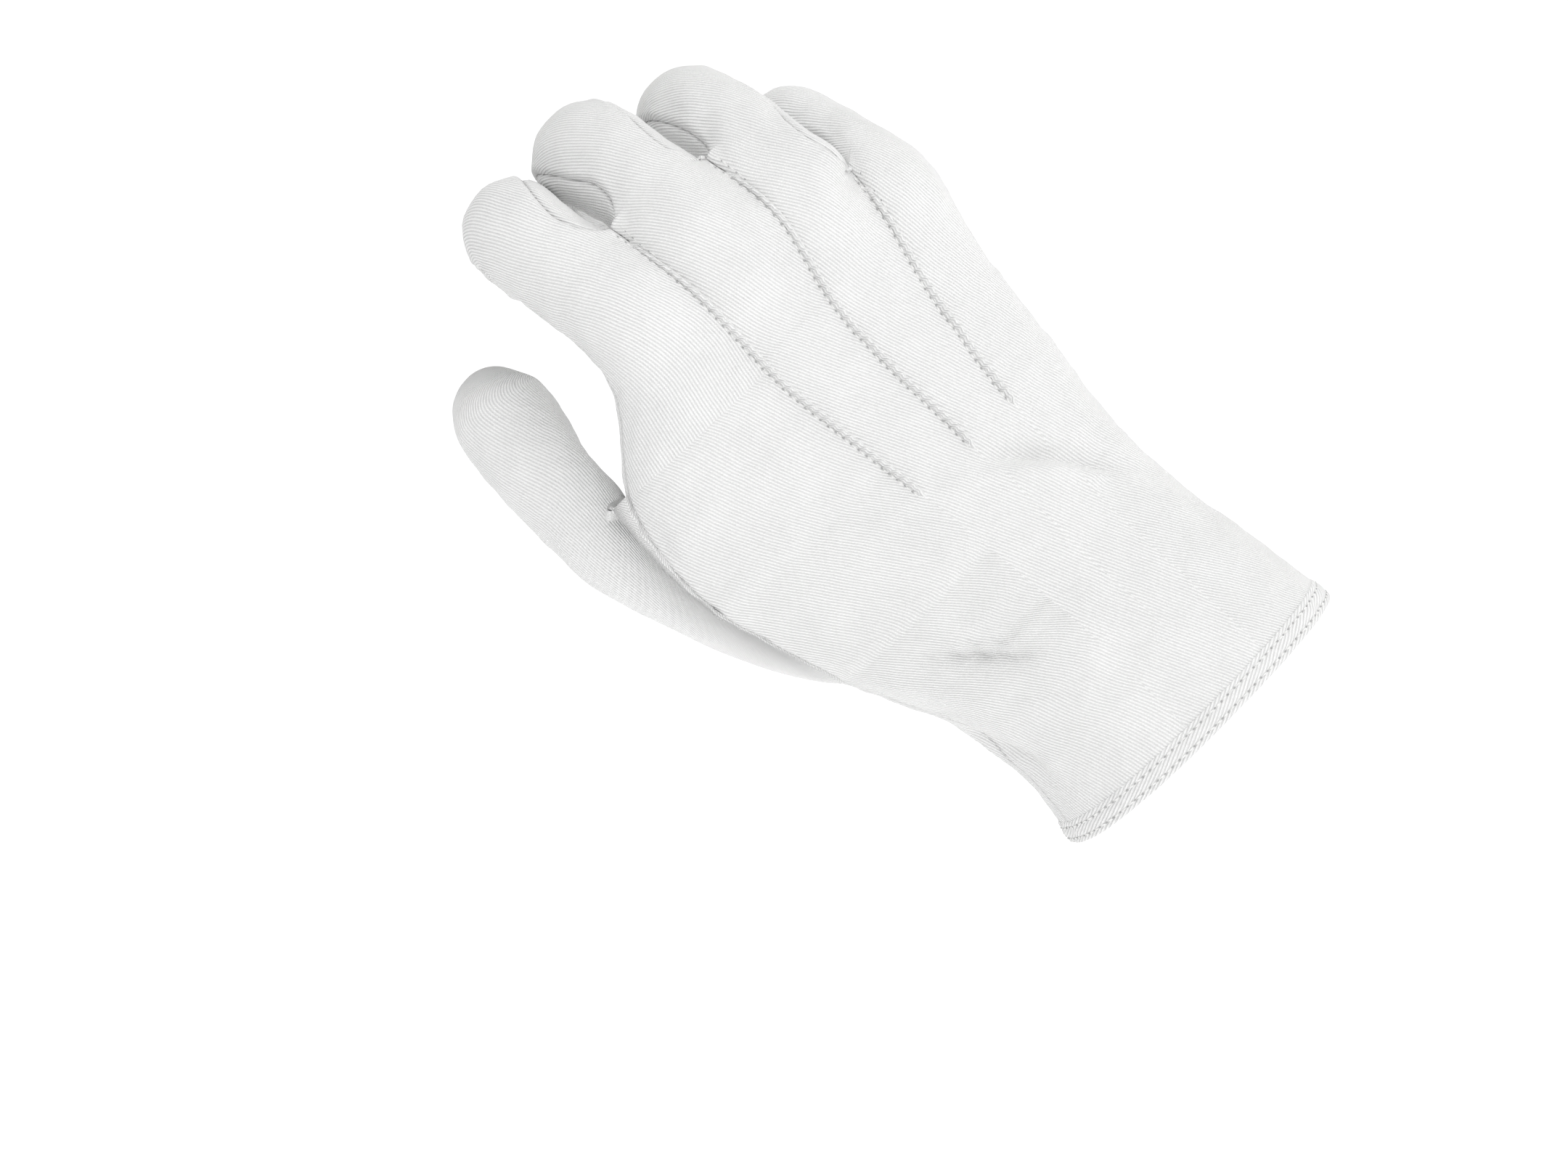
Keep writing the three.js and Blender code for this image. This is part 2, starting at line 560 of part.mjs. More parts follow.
// The strip of cloth between two fingers: down the side of one, round the crotch and up the side of the next.
function sideStrip(i) {
  const { patch, geometry } = sheet();
  const rise = steps(0, 90, 4).map((angle) => crotches[i] + CROTCH_RADIUS * (1 - Math.cos(angle * RAD)));
  const top = (finger) => finger.end - 0.85 * TIP_LENGTH * finger.thick;
  const up = (finger) => [...rise, ...steps(rise.at(-1), top(finger), 9).slice(1)];
  const rows = [
    ...up(fingers[i]).reverse().map((s) => ({ s, own: true })),
    ...up(fingers[i + 1]).slice(1).map((s) => ({ s, own: false })),
  ];
  patch(rows, steps(-1, 1, 3), (r, c) => `${r} ${c}`, ({ s, own }, c, layer) => {
    const finger = own ? fingers[i] : fingers[i + 1];
    const gap = (2 * SEAM_GAP) / finger.thick;
    const turn = c * (stripTurn(finger, s) - gap);
    return own
      ? handPoint(i, 1, s, 1, layer * CLOTH, turn)
      : handPoint(i + 1, 0, s, 1, layer * CLOTH, Math.PI - turn);
  });
  return geometry();
}

// The thumb: a sleeve that grows out of the seam round the hand's side.
const thumbPlaces = THUMB_LINE.map(
  ({ across, deep, up }) =>
    new THREE.Vector3(across * PALM_BREADTH, deep * PALM_DEPTH, THUMB_BASE * PALM_LENGTH + up * THUMB_LENGTH),
);
const thumbCurve = new THREE.CatmullRomCurve3(thumbPlaces, false, "centripetal");
const thumbRun = thumbCurve.getLength();

function thumbPoint(turn, t, inset) {
  const end = 1 - inset / thumbRun;
  const slant = (THUMB_SLANT * (1 + Math.cos(turn))) / 2;
  const station = Math.min(t + slant * (1 - t) ** 2, end);
  const along = thumbCurve.getTangentAt(station);
  const facing = THUMB_FACING * RAD;
  const across = new THREE.Vector3(Math.cos(facing), Math.sin(facing), 0);
  across.addScaledVector(along, -across.dot(along)).normalize();
  const out = new THREE.Vector3().crossVectors(along, across);
  if (out.y > 0) out.negate();
  const tipShare = (THUMB_TIP * THUMB_BREADTH) / thumbRun;
  const past = Math.max(station - (end - tipShare), 0) / tipShare;
  const tip = Math.sqrt(Math.max(1 - past ** 2, 0));
  const half = follow(THUMB_SECTIONS, "along", "half", station) * THUMB_BREADTH - inset;
  const thick = follow(THUMB_SECTIONS, "along", "thick", station) * THUMB_BREADTH - inset;
  const sleeve = thumbCurve
    .getPointAt(station)
    .addScaledVector(across, half * tip * Math.cos(turn))
    .addScaledVector(out, thick * tip * Math.sin(turn));
  const low = THUMB_SEAM.low * PALM_LENGTH;
  const high = THUMB_SEAM.high * PALM_LENGTH;
  const gap = THUMB_GAP;
  const side = Math.sin(turn) >= 0 ? 1 : -1;
  const open = (low + high) / 2 + ((high - low) / 2) * Math.cos(turn);
  const z = (low + high) / 2 + ((high - low) / 2 - 2 * gap) * Math.cos(turn);
  const back = side * Math.max(seamTurn(open, side) - turnFor(gap, Math.PI, z), 0);
  const standoff = THUMB_BALL + (THUMB_WEB - THUMB_BALL) * ((1 + Math.cos(turn)) / 2) ** 2;
  const off = standoff * Math.sin(Math.PI * clamp(t / THUMB_MERGE, 0, 1));
  const ring = bodyPoint(side * Math.PI - back, z, inset - off);
  return ring.lerp(sleeve, smooth(t / THUMB_MERGE));
}

function thumb() {
  const { patch, geometry } = sheet();
  const around = steps(0, 360, THUMB_COLUMNS).map((angle) => angle * RAD);
  const tipShare = (THUMB_TIP * THUMB_BREADTH) / thumbRun;
  const rows = [
    ...steps(0, 1 - tipShare, 9),
    ...steps(0, 90, 4).slice(1).map((angle) => 1 - tipShare + tipShare * Math.sin(angle * RAD)),
  ];
  const keyOf = (r, c) => (r === rows.length - 1 ? "tip" : `${r} ${c % THUMB_COLUMNS}`);
  patch(rows, around, keyOf, (t, turn, layer) => thumbPoint(turn, t, layer * CLOTH));
  return geometry();
}

// The hem round the cuff, from the vent's thumb side round the back to the edge of the turned flap.
function hem() {
  const { patch, geometry } = sheet();
  const round = steps(0, 1, 34);
  const flap = steps(0, 1, FLAP_COLUMNS).slice(1);
  const columns = [...round.map((t) => ({ t })), ...flap.map((part) => ({ part }))];
  const layers = [-HEM_SWELL, CLOTH + HEM_SWELL];
  patch([0, HEM_WIDTH], columns, (r, c) => `${r} ${c}`, (z, { t, part }, layer) => {
    const inset = layers[layer];
    if (part !== undefined) return flapPoint(ventSize("flap", z) * part, z, inset);
    const from = ventTurn("thumb", panelRadius, z) + 2 * Math.PI;
    const to = ventTurn("fold", panelRadius, z);
    return bodyPoint(from + (to - from) * t, z, inset);
  });
  return geometry();
}

// The binding of the vent: up the thumb side, round the top and down the turned flap.
function binding() {
  const { patch, geometry } = sheet();
  const straight = [0, ...ventRows.slice(0, -1)];
  const rows = [
    ...straight.map((z) => ({ z, thumbSide: true })),
    ...steps(-90, 90, 2 * TOP_STEPS).map((angle) => ({ angle: angle * RAD })),
    ...straight.toReversed().map((z) => ({ z, thumbSide: false })),
  ];
  const layers = [-HEM_SWELL, CLOTH + HEM_SWELL];
  patch(rows, steps(0, 1, 2), (r, c) => `${r} ${c}`, ({ z, thumbSide, angle }, t, layer) => {
    const inset = layers[layer];
    const radius = VENT_RADIUS + BINDING_WIDTH * t;
    const apart = 1.5 * SEAM_GAP; // off the panel, where the flap starts to roll
    if (angle !== undefined) {
      const height = ventCentre + radius * Math.cos(angle);
      const centre = turnAt(ventLine(height), height, -1);
      return bodyPoint(centre + turnFor(radius * Math.sin(angle), centre, height), height, inset);
    }
    if (thumbSide) return bodyPoint(ventTurn("thumb", radius, z), z, inset);
    return flapPoint(ventSize("flap", z) + apart + BINDING_WIDTH * (1 - t), z, inset);
  });
  return geometry();
}

// A raised tuck on the back, from the wrist to the crotch after finger i.
function point(i) {
  const { patch, geometry } = sheet();
  const from = POINT_START * PALM_LENGTH;
  const to = crotches[i] - POINT_STOP;
  const rows = [from, ...panelRows().filter((s) => s > from + MIN_ROW && s < to - MIN_ROW), to];
  const columns = steps(-1, 1, 3);
  const small = 0.5;
  patch(rows, columns, (r, c) => `${r} ${c}`, (s, c, layer) => {
    const here = handPoint(i, 1, s, 1);
    const left = handPoint(i, 1 - 1 / COLUMNS[i], s, 1).sub(here).normalize();
    const right = handPoint(i + 1, 1 / COLUMNS[i + 1], s, 1).sub(here).normalize();
    const along = handPoint(i, 1, s + small, 1).sub(here);
    const out = new THREE.Vector3().crossVectors(right.clone().sub(left), along).normalize();
    if (out.y > 0) out.negate();
    const taper = smooth((Math.min(s - from, to - s) + POINT_TAPER / 2) / POINT_TAPER);
    const height = POINT_HEIGHT * taper * Math.cos((c * Math.PI) / 3);
    here.addScaledVector(c < 0 ? left : right, (Math.abs(c) * POINT_WIDTH) / 2);
    return here.addScaledVector(out, POINT_RISE + (layer ? 0 : height));
  });
  return geometry();
}

// Places of the snap's two halves: on the thumb side's flap, and on the turned flap's inner face.
const snapHeight = ventCentre * (1 - SNAP_DROP);
function studSeat(along, up) {
  const away = along - SNAP_DIAMETER / 2 - SNAP_MARGIN;
  const z = snapHeight + up;
  const edge = ventTurn("thumb", panelRadius, z);
  return bodyPoint(edge + turnFor(away, edge, z), z, 0);
}
function socketSeat(along, up) {
  const reach = ventSize("flap", snapHeight) - SNAP_MARGIN - SNAP_DIAMETER / 2;
  return flapPoint(reach + along, snapHeight + up, CLOTH);
}
// A seat's place, and the direction out of it towards the palm side.
function seating(seat) {
  const reach = SNAP_DIAMETER / 3;
  const along = seat(reach, 0).sub(seat(-reach, 0));
  const up = seat(0, reach).sub(seat(0, -reach));
  const out = along.cross(up).normalize();
  if (out.y < 0) out.negate();
  return { place: seat(0, 0).addScaledVector(out, SEAT_RISE), out };
}

// A turned part standing on a seat. The profile runs from the axis outwards and back, heights from the seat.
function turned(profile, { place, out }) {
  const geometry = new THREE.LatheGeometry(
    profile.map(([radius, height]) => new THREE.Vector2(radius, height)),
    SNAP_FACETS,
  );
  geometry.applyQuaternion(new THREE.Quaternion().setFromUnitVectors(new THREE.Vector3(0, 1, 0), out));
  geometry.translate(place.x, place.y, place.z);
  return geometry;
}

function snapParts() {
  const parts = {};
  const flange = SNAP_DIAMETER / 2;
  const knob = KNOB_DIAMETER / 2;
  const cap = CAP_DIAMETER / 2;
  const shank = SHANK_DIAMETER / 2;
  const hollow = SEAT_RISE + CLOTH + 3 * SEAM_GAP; // from the seat to the cap on the cloth's other face
  const stud = seating(studSeat);
  const socket = seating(socketSeat);
  const capProfile = [
    [0, -hollow - CAP_THICKNESS],
    [cap, -hollow - CAP_THICKNESS],
    [cap, -hollow],
    [shank, -hollow],
    [shank, 0],
    [0, 0],
  ];
  parts.snap_stud = turned(
    [
      [0, SEAM_GAP],
      [flange, SEAM_GAP],
      [flange, SEAM_GAP + 0.6 * SNAP_HEIGHT],
      [flange - 0.9, SEAM_GAP + SNAP_HEIGHT],
      [flange - 2, SEAM_GAP + 0.6 * SNAP_HEIGHT],
      [knob * 0.9, SEAM_GAP + 0.7 * SNAP_HEIGHT],
      [knob * 0.8, KNOB_HEIGHT * 0.62],
      [knob, KNOB_HEIGHT * 0.8],
      [knob * 0.75, KNOB_HEIGHT],
      [0, KNOB_HEIGHT],
    ],
    stud,
  );
  parts.snap_socket = turned(
    [
      [0, SEAM_GAP],
      [flange, SEAM_GAP],
      [flange, SEAM_GAP + 0.55 * SNAP_HEIGHT],
      [flange - 1, SEAM_GAP + SNAP_HEIGHT],
      [SOCKET_BORE / 2 + 1, SEAM_GAP + 1.35 * SNAP_HEIGHT],
      [SOCKET_BORE / 2, SEAM_GAP + 1.2 * SNAP_HEIGHT],
      [SOCKET_BORE / 2, SEAM_GAP + 0.35 * SNAP_HEIGHT],
      [0, SEAM_GAP + 0.35 * SNAP_HEIGHT],
    ],
    socket,
  );
  parts.stud_rivet = turned(capProfile, stud);
  parts.socket_rivet = turned(capProfile, socket);
  const bore = shank + SEAM_GAP;
  const hole = [[0, -hollow], [bore, -hollow], [bore, CLOTH], [0, CLOTH]];
  return { parts, holes: [turned(hole, stud), turned(hole, socket)] };
}

function asSolid(geometry) {
  const bare = geometry.clone();
  bare.deleteAttribute("normal");
  bare.deleteAttribute("uv");
  const merged = mergeVertices(bare, 1e-4);
  return new wasm.Manifold(
    new wasm.Mesh({
      numProp: 3,
      vertProperties: new Float32Array(merged.attributes.position.array),
      triVerts: new Uint32Array(merged.index.array),
    }),
  );
}

// Cuts the holes for the rivets' shanks out of a panel.
function punched(geometry, holes) {
  const cut = holes.reduce((solid, hole) => solid.subtract(asSolid(hole)), asSolid(geometry));
  const mesh = cut.getMesh();
  const result = new THREE.BufferGeometry();
  result.setAttribute("position", new THREE.BufferAttribute(new Float32Array(mesh.vertProperties), 3));
  result.setIndex(new THREE.BufferAttribute(new Uint32Array(mesh.triVerts), 1));
  return result;
}

const COTTON = new THREE.MeshStandardMaterial({ color: 0xf4f4f2, roughness: 0.95, metalness: 0 });
const NICKEL = new THREE.MeshStandardMaterial({ color: 0xc9cacc, roughness: 0.22, metalness: 1 });

const glove = new THREE.Group();
function add(name, geometry, material) {
  const mesh = new THREE.Mesh(geometry, material);
  mesh.name = name;
  glove.add(mesh);
}

const snaps = snapParts();
add("back_panel", panel(1), COTTON);
add("palm_panel", punched(panel(-1), snaps.holes), COTTON);
add("thumb_panel", thumb(), COTTON);
for (let i = 0; i + 1 < fingers.length; i += 1) {
  add(`fourchette_${fingers[i].name}_${fingers[i + 1].name}`, sideStrip(i), COTTON);
  add(`back_point_${i + 1}`, point(i), COTTON);
}
add("cuff_hem", hem(), COTTON);
add("vent_binding", binding(), COTTON);
for (const [name, geometry] of Object.entries(snaps.parts)) add(name, geometry, NICKEL);

export default glove;
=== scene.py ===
# %% [markdown]
# # A white cotton dress glove, worn
#
# The glove keeps the shape that it has on a right hand: curled fingers, a thumb set into the palm, three
# raised stitched points on the back, and a vent at the wrist that closes with a press stud. This lesson
# builds each sewn piece as a sheet that numpy works out from two parameters, and gives it a knit made of
# shader maths.
#
# Lengths are millimetres until a mesh is made. The origin is the centre of the cuff's opening, +Z runs to
# the fingertips, +X to the little finger, and the back of the hand faces -Y.

import bmesh
import bpy
import numpy as np
from mathutils import Matrix, Vector


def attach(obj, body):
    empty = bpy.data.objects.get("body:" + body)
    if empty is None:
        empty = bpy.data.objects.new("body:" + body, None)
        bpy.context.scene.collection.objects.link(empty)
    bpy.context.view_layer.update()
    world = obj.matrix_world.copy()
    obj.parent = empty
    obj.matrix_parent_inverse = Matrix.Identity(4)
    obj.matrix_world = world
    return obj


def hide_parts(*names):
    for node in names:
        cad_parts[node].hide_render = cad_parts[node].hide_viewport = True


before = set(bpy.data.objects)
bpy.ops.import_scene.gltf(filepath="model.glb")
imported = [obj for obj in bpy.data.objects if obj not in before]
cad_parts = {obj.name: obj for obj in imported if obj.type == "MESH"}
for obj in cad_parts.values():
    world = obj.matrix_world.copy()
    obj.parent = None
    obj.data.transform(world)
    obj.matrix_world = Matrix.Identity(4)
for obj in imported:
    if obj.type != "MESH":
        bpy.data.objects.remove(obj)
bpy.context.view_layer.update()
MM = 0.001
RAD = np.pi / 180


def unit(v):
    return v / np.linalg.norm(v, axis=-1, keepdims=True)


def add_object(name, data):
    thing = bpy.data.objects.new(name, data)
    bpy.context.collection.objects.link(thing)
    return thing


# %% [markdown]
# ## The camera
#
# The photograph looks at the back of the hand from the thumb's side and a little from above, and it is
# turned so that the fingers point to the upper left. The camera stands on that line, aims at the middle
# of the picture and is rolled by the same turn.

# %% Camera
AZIMUTH = -20 * RAD  # towards the thumb's side
ELEVATION = 10 * RAD
DISTANCE = 1200.0
AIM_RIGHT, AIM_UP = -88.7, 27.8  # the picture's middle, seen from the origin
ROLL = 42.4 * RAD
LENS = 129.6
CLIP_END = 200  # metres, beyond the floor's rim


def view_axes():
    """Direction to the camera, the level direction across it, and the rolled picture's right and up."""
    back = np.array(
        [np.sin(AZIMUTH) * np.cos(ELEVATION), -np.cos(AZIMUTH) * np.cos(ELEVATION), np.sin(ELEVATION)]
    )
    level = np.array([np.cos(AZIMUTH), np.sin(AZIMUTH), 0.0])
    upward = np.cross(back, level)
    right = np.cos(ROLL) * level - np.sin(ROLL) * upward
    up = np.sin(ROLL) * level + np.cos(ROLL) * upward
    return back, level, right, up


to_camera, level, image_right, image_up = view_axes()


def make_camera():
    camera = add_object("camera", bpy.data.cameras.new("camera"))
    place = DISTANCE * to_camera
    behind = unit(place - AIM_RIGHT * image_right - AIM_UP * image_up)
    side = unit(np.cross(image_up, behind))
    turn = Matrix([side, np.cross(behind, side), behind]).transposed().to_4x4()
    camera.matrix_world = Matrix.Translation(Vector(place * MM)) @ turn
    camera.data.lens = LENS
    camera.data.clip_end = CLIP_END
    bpy.context.scene.camera = camera


make_camera()

# %% [markdown]
# ## Sizes and tables
#
# The same few sizes drive every sheet, and the tables hold their lengths as shares of them. A smooth
# cubic through the rows gives every value in between.

# %% Driving sizes
PALM_LENGTH = 142.0  # cuff edge to the knuckle joints
PALM_BREADTH = 86.0
PALM_DEPTH = 30.0
FINGER_LENGTH = 92.0
THUMB_LENGTH = 86.0
THUMB_BREADTH = 24.0
CLOTH = 1.2  # sheet between the panels' two faces
KNIT = 0.8  # thickness that the knit is drawn with
CROTCH_RADIUS = 6.5
STRIP = 28 * RAD
STRIP_CLOSES = (1.5, 1.15)  # start and run at the fingertip, in lengths of the rounded tip
HEM_WIDTH = 5.5
SWELL = 0.4  # of hem and binding beyond the cloth
VENT_LENGTH = 45.0
VENT_RADIUS = 6.0
BINDING_WIDTH = 4.5
FLAP_ROLL = 1.7
SEAM_GAP = 0.3

SECTIONS = dict(
    at=[0, 0.077, 0.162, 0.261, 0.352, 0.451, 0.549, 0.634, 0.725, 0.803, 0.873, 0.958, 1.056],
    thumb=[
        -0.448, -0.43, -0.436, -0.477, -0.552, -0.634, -0.721,
        -0.773, -0.767, -0.715, -0.645, -0.581, -0.558,
    ],
    little=[0.448, 0.427, 0.4, 0.367, 0.355, 0.36, 0.384, 0.395, 0.41, 0.424, 0.442, 0.453, 0.453],
    back=[0.8, 0.767, 0.717, 0.643, 0.583, 0.55, 0.533, 0.517, 0.5, 0.49, 0.487, 0.48, 0.467],
    palm=[0.767, 0.733, 0.667, 0.617, 0.583, 0.617, 0.633, 0.65, 0.617, 0.567, 0.517, 0.467, 0.46],
    mid=[0, 0, 0, 0, 0.033, 0.067, 0.1, 0.1, 0.1, 0.1, 0.067, 0.033, 0],
)
ROUNDNESS = 2.35
BODY_TOP = SECTIONS["at"][-1]
BACK_LINES = dict(
    at=[0, 0.352, 0.521, 0.817, 1.056],
    lines=[
        [-0.14, -0.157, -0.188, -0.258, -0.262],
        [0, -0.003, -0.008, -0.024, 0.025],
        [0.14, 0.134, 0.145, 0.21, 0.285],
    ],
)
PALM_LINES = dict(
    at=[0, 0.352, 0.521, 0.817, 1.056],
    lines=[
        [0, 0, -0.12, -0.244, -0.256],
        [0.15, 0.14, 0.04, 0.009, 0.04],
        [0.26, 0.24, 0.19, 0.221, 0.285],
    ],
)
VENT_EDGES = dict(
    drop=[0, 0.25, 0.5, 0.75, 1],
    thumb=[0, 0.03, 0.07, 0.13, 0.23],
    fold=[0, 0.08, 0.17, 0.25, 0.3],
    flap=[0, 0.06, 0.2, 0.2, 0.12],
)
ROLL_START = 0.22
print("a glove", PALM_BREADTH, "mm across the knuckles")

# %% [markdown]
# ### Dents and folds
#
# Worn cotton keeps soft dents over the wrist and creases at the balls of the thumb and the little finger.
# Each row is one bell-shaped push: its place along the hand, its angle round it (0 at the little finger,
# 90 at the back, 180 at the thumb), the angle gained along the hand, and its half length, half width and
# depth.

# %% Folds
FOLDS = np.array(
    [
        (0.31, 96, 130, 0.07, 20, 0.05),  # dent over the wrist
        (0.235, 138, 160, 0.09, 9, 0.045),  # fold beside it
        (0.29, 148, 160, 0.1, 10, -0.04),  # ridge above that fold
        (0.4, 48, -160, 0.06, 9, 0.04),  # crease at the little finger's side
        (0.45, 40, -160, 0.07, 10, -0.03),  # ridge above the crease
        (0.78, 255, 90, 0.03, 34, 0.06),  # crease across the palm
        (0.6, 240, -60, 0.16, 9, 0.06),  # crease round the thumb's ball
        (0.3, 318, 40, 0.12, 9, 0.05),  # gather at the little finger's ball
        (0.447, 61, 205, 0.085, 5, 0.08),  # long crease over the wrist bone
        (0.455, 71, 205, 0.08, 6, -0.04),  # ridge above it
        (0.317, 129, 140, 0.055, 5, 0.085),  # crease above the thumb's side of the wrist
        (0.325, 119, 140, 0.05, 5.5, -0.045),  # ridge beside it
        (0.18, 174, 110, 0.06, 6, 0.08),  # crease below, next to the cuff
        (0.19, 183, 110, 0.055, 6, -0.03),  # ridge beside that one
        (0.27, 118, 240, 0.03, 8, 0.02),  # fine folds on the thumb's side of the wrist
        (0.2, 128, 260, 0.035, 7, 0.018),
        (0.16, 84, 200, 0.03, 14, 0.014),
        (0.68, 168, 40, 0.045, 7, 0.03),  # gathers beside the thumb's crotch
        (0.74, 160, 60, 0.03, 6, 0.022),
        (0.9, 262, 60, 0.025, 30, 0.04),  # creases across the palm
        (0.5, 285, 80, 0.07, 8, 0.03),
        (0.42, 222, -50, 0.09, 8, 0.035),
    ]
)


def smooth(t):
    """Three t squared less two t cubed, between 0 and 1."""
    c = np.clip(t, 0, 1)
    return c * c * (3 - 2 * c)


def bell(x, place, reach):
    return np.exp(-(((x - place) / reach) ** 2))


def follow(places, values, x):
    """A cubic through a table's rows, whose slope at a row is a weighed mean of the slopes beside it."""
    xs, ys = np.asarray(places, float), np.asarray(values, float)
    gap = np.diff(xs)
    slope = np.diff(ys) / gap
    inner = (slope[:-1] * gap[1:] + slope[1:] * gap[:-1]) / (gap[1:] + gap[:-1])
    tangent = np.concatenate([slope[:1], inner, slope[-1:]])
    i = np.clip(np.searchsorted(xs, x, "right") - 1, 0, len(xs) - 2)
    h = gap[i]
    t = np.clip((x - xs[i]) / h, 0, 1)
    rise = (3 * t**2 - 2 * t**3) * (ys[i + 1] - ys[i])
    return ys[i] + rise + h * ((t**3 - 2 * t**2 + t) * tangent[i] + (t**3 - t**2) * tangent[i + 1])


def section(name, z):
    return follow(SECTIONS["at"], SECTIONS[name], np.clip(z / PALM_LENGTH, 0, BODY_TOP))


def fold_depth(turn, z):
    """Sum of the folds' bells, over distance along the hand and angle round it."""
    depth = np.zeros(np.broadcast(turn, z).shape)
    for at, centre, lean, run, spread, deep in FOLDS:
        along = z / PALM_LENGTH - at
        off = turn / RAD - centre - lean * along
        off = off - 360 * np.round(off / 360)
        depth += deep * np.exp(-((along / run) ** 2) - (off / spread) ** 2)
    return depth * PALM_DEPTH


RIPPLES = np.array(
    [(31, 17, 0.4), (19, -23, 2.1), (13, 11, 4.0), (9.5, 14, 5.2), (24, 8.5, 1.3), (7.2, -6.1, 3.3)]
)
RIPPLE_HEIGHT = 0.05
HAND_RADIUS, FINGER_RADIUS = 30, 12  # rough radii, which turn an angle into millimetres of ripple


def ripple(u, v):
    """Sum of sines. The table's columns are the wavelengths across and along, and the phase."""
    total = 0
    for wide, long, phase in RIPPLES:
        total = total + np.sin(2 * np.pi * (u / wide + v / long) + phase)
    return RIPPLE_HEIGHT * total


def body_point(turn, z, inset):
    """A squared ellipse at height z: half breadths and depths come from the table, less inset and folds."""
    turn, z, inset = np.broadcast_arrays(turn, z, inset)
    thumb = section("thumb", z) * PALM_BREADTH
    little = section("little", z) * PALM_BREADTH
    push = inset + fold_depth(turn, z) + ripple(turn * HAND_RADIUS, z)
    side = np.where(np.sin(turn) > 0, section("back", z), section("palm", z)) * PALM_DEPTH
    power = 2 / ROUNDNESS
    bulge_x = np.sign(np.cos(turn)) * np.abs(np.cos(turn)) ** power
    bulge_y = np.sign(np.sin(turn)) * np.abs(np.sin(turn)) ** power
    x = (thumb + little) / 2 + ((little - thumb) / 2 - push) * bulge_x
    y = section("mid", z) * PALM_DEPTH - (side - push) * bulge_y
    return np.stack([x, y, z], -1)


def turn_at(x, z, side):
    """The angle at which a section's cloth lies at x."""
    thumb = section("thumb", z) * PALM_BREADTH
    little = section("little", z) * PALM_BREADTH
    u = np.clip((2 * x - thumb - little) / (little - thumb), -1, 1)
    return side * np.arccos(np.sign(u) * np.abs(u) ** (ROUNDNESS / 2))


SMALL_TURN = 0.01


def turn_for(distance, turn, z):
    """Angle gained by a distance round the section, from a short step."""
    step = np.linalg.norm(body_point(turn, z, 0) - body_point(turn + SMALL_TURN, z, 0), axis=-1)
    return distance * SMALL_TURN / step


print("a section through the palm:", np.round(body_point(np.pi / 2, 90.0, 0), 1))

# %% [markdown]
# ## Fingers
#
# A finger is a tube along a middle line that bends at three joints. The line is a running sum of short
# steps whose direction turns smoothly through each joint. Below the knuckles the tubes melt into the
# hand's section.

# %% Fingers
FINGERS = [
    dict(
        name="index", across=-0.39, deep=-0.1, up=1.0, lean=-8, twist=14,
        bends=(27, 74, 22), bones=(0.391, 0.283, 0.25), half=0.13, thick=0.358,
    ),
    dict(
        name="middle", across=-0.105, deep=-0.133, up=1.021, lean=-7, twist=10,
        bends=(38, 72, 22), bones=(0.424, 0.315, 0.272), half=0.136, thick=0.365,
    ),
    dict(
        name="ring", across=0.173, deep=-0.067, up=0.979, lean=0, twist=3,
        bends=(43, 68, 22), bones=(0.424, 0.293, 0.261), half=0.117, thick=0.333,
    ),
    dict(
        name="little", across=0.376, deep=0.133, up=0.873, lean=4, twist=-2,
        bends=(45, 64, 22), bones=(0.402, 0.217, 0.228), half=0.099, thick=0.293,
    ),
]
BEND_SPREAD = (1.2, 1.02, 0.75)
FINGER_TAPER = 0.16
TAPER_START = 0.154
TIP_LENGTH = 1.15
CROTCHES = np.array([1.127, 1.102, 0.951]) * PALM_LENGTH
MERGE_START, MERGE_RUN = 0.15, 0.23
JOIN_REACH = 0.55
LAST = len(FINGERS) - 1
LINE_STEP = 0.25
LINE_START = 0.4  # of PALM_LENGTH, below the finger's base


def on_line(x, places, points):
    """Points of a line at x, one coordinate after another."""
    return np.stack([np.interp(x, places, points[:, k]) for k in range(3)], -1)


def running(points):
    """Distance run along a line at each of its points."""
    return np.concatenate([[0], np.cumsum(np.linalg.norm(np.diff(points, axis=0), axis=-1))])


def round_end(station, end, length):
    """1, and over the last length before the end a quarter circle down to 0."""
    past = np.clip(station - (end - length), 0, None) / length
    return np.sqrt(np.clip(1 - past**2, 0, None))


def bend_at(finger, s):
    """Sum of the joints' bends, each spread over a length either side of the joint."""
    total = 0
    for bend, spread, joint in zip(finger["bends"], BEND_SPREAD, finger["joints"]):
        reach = spread * finger["thick"]
        total = total + bend * RAD * smooth((s - joint + reach) / (2 * reach))
    return total


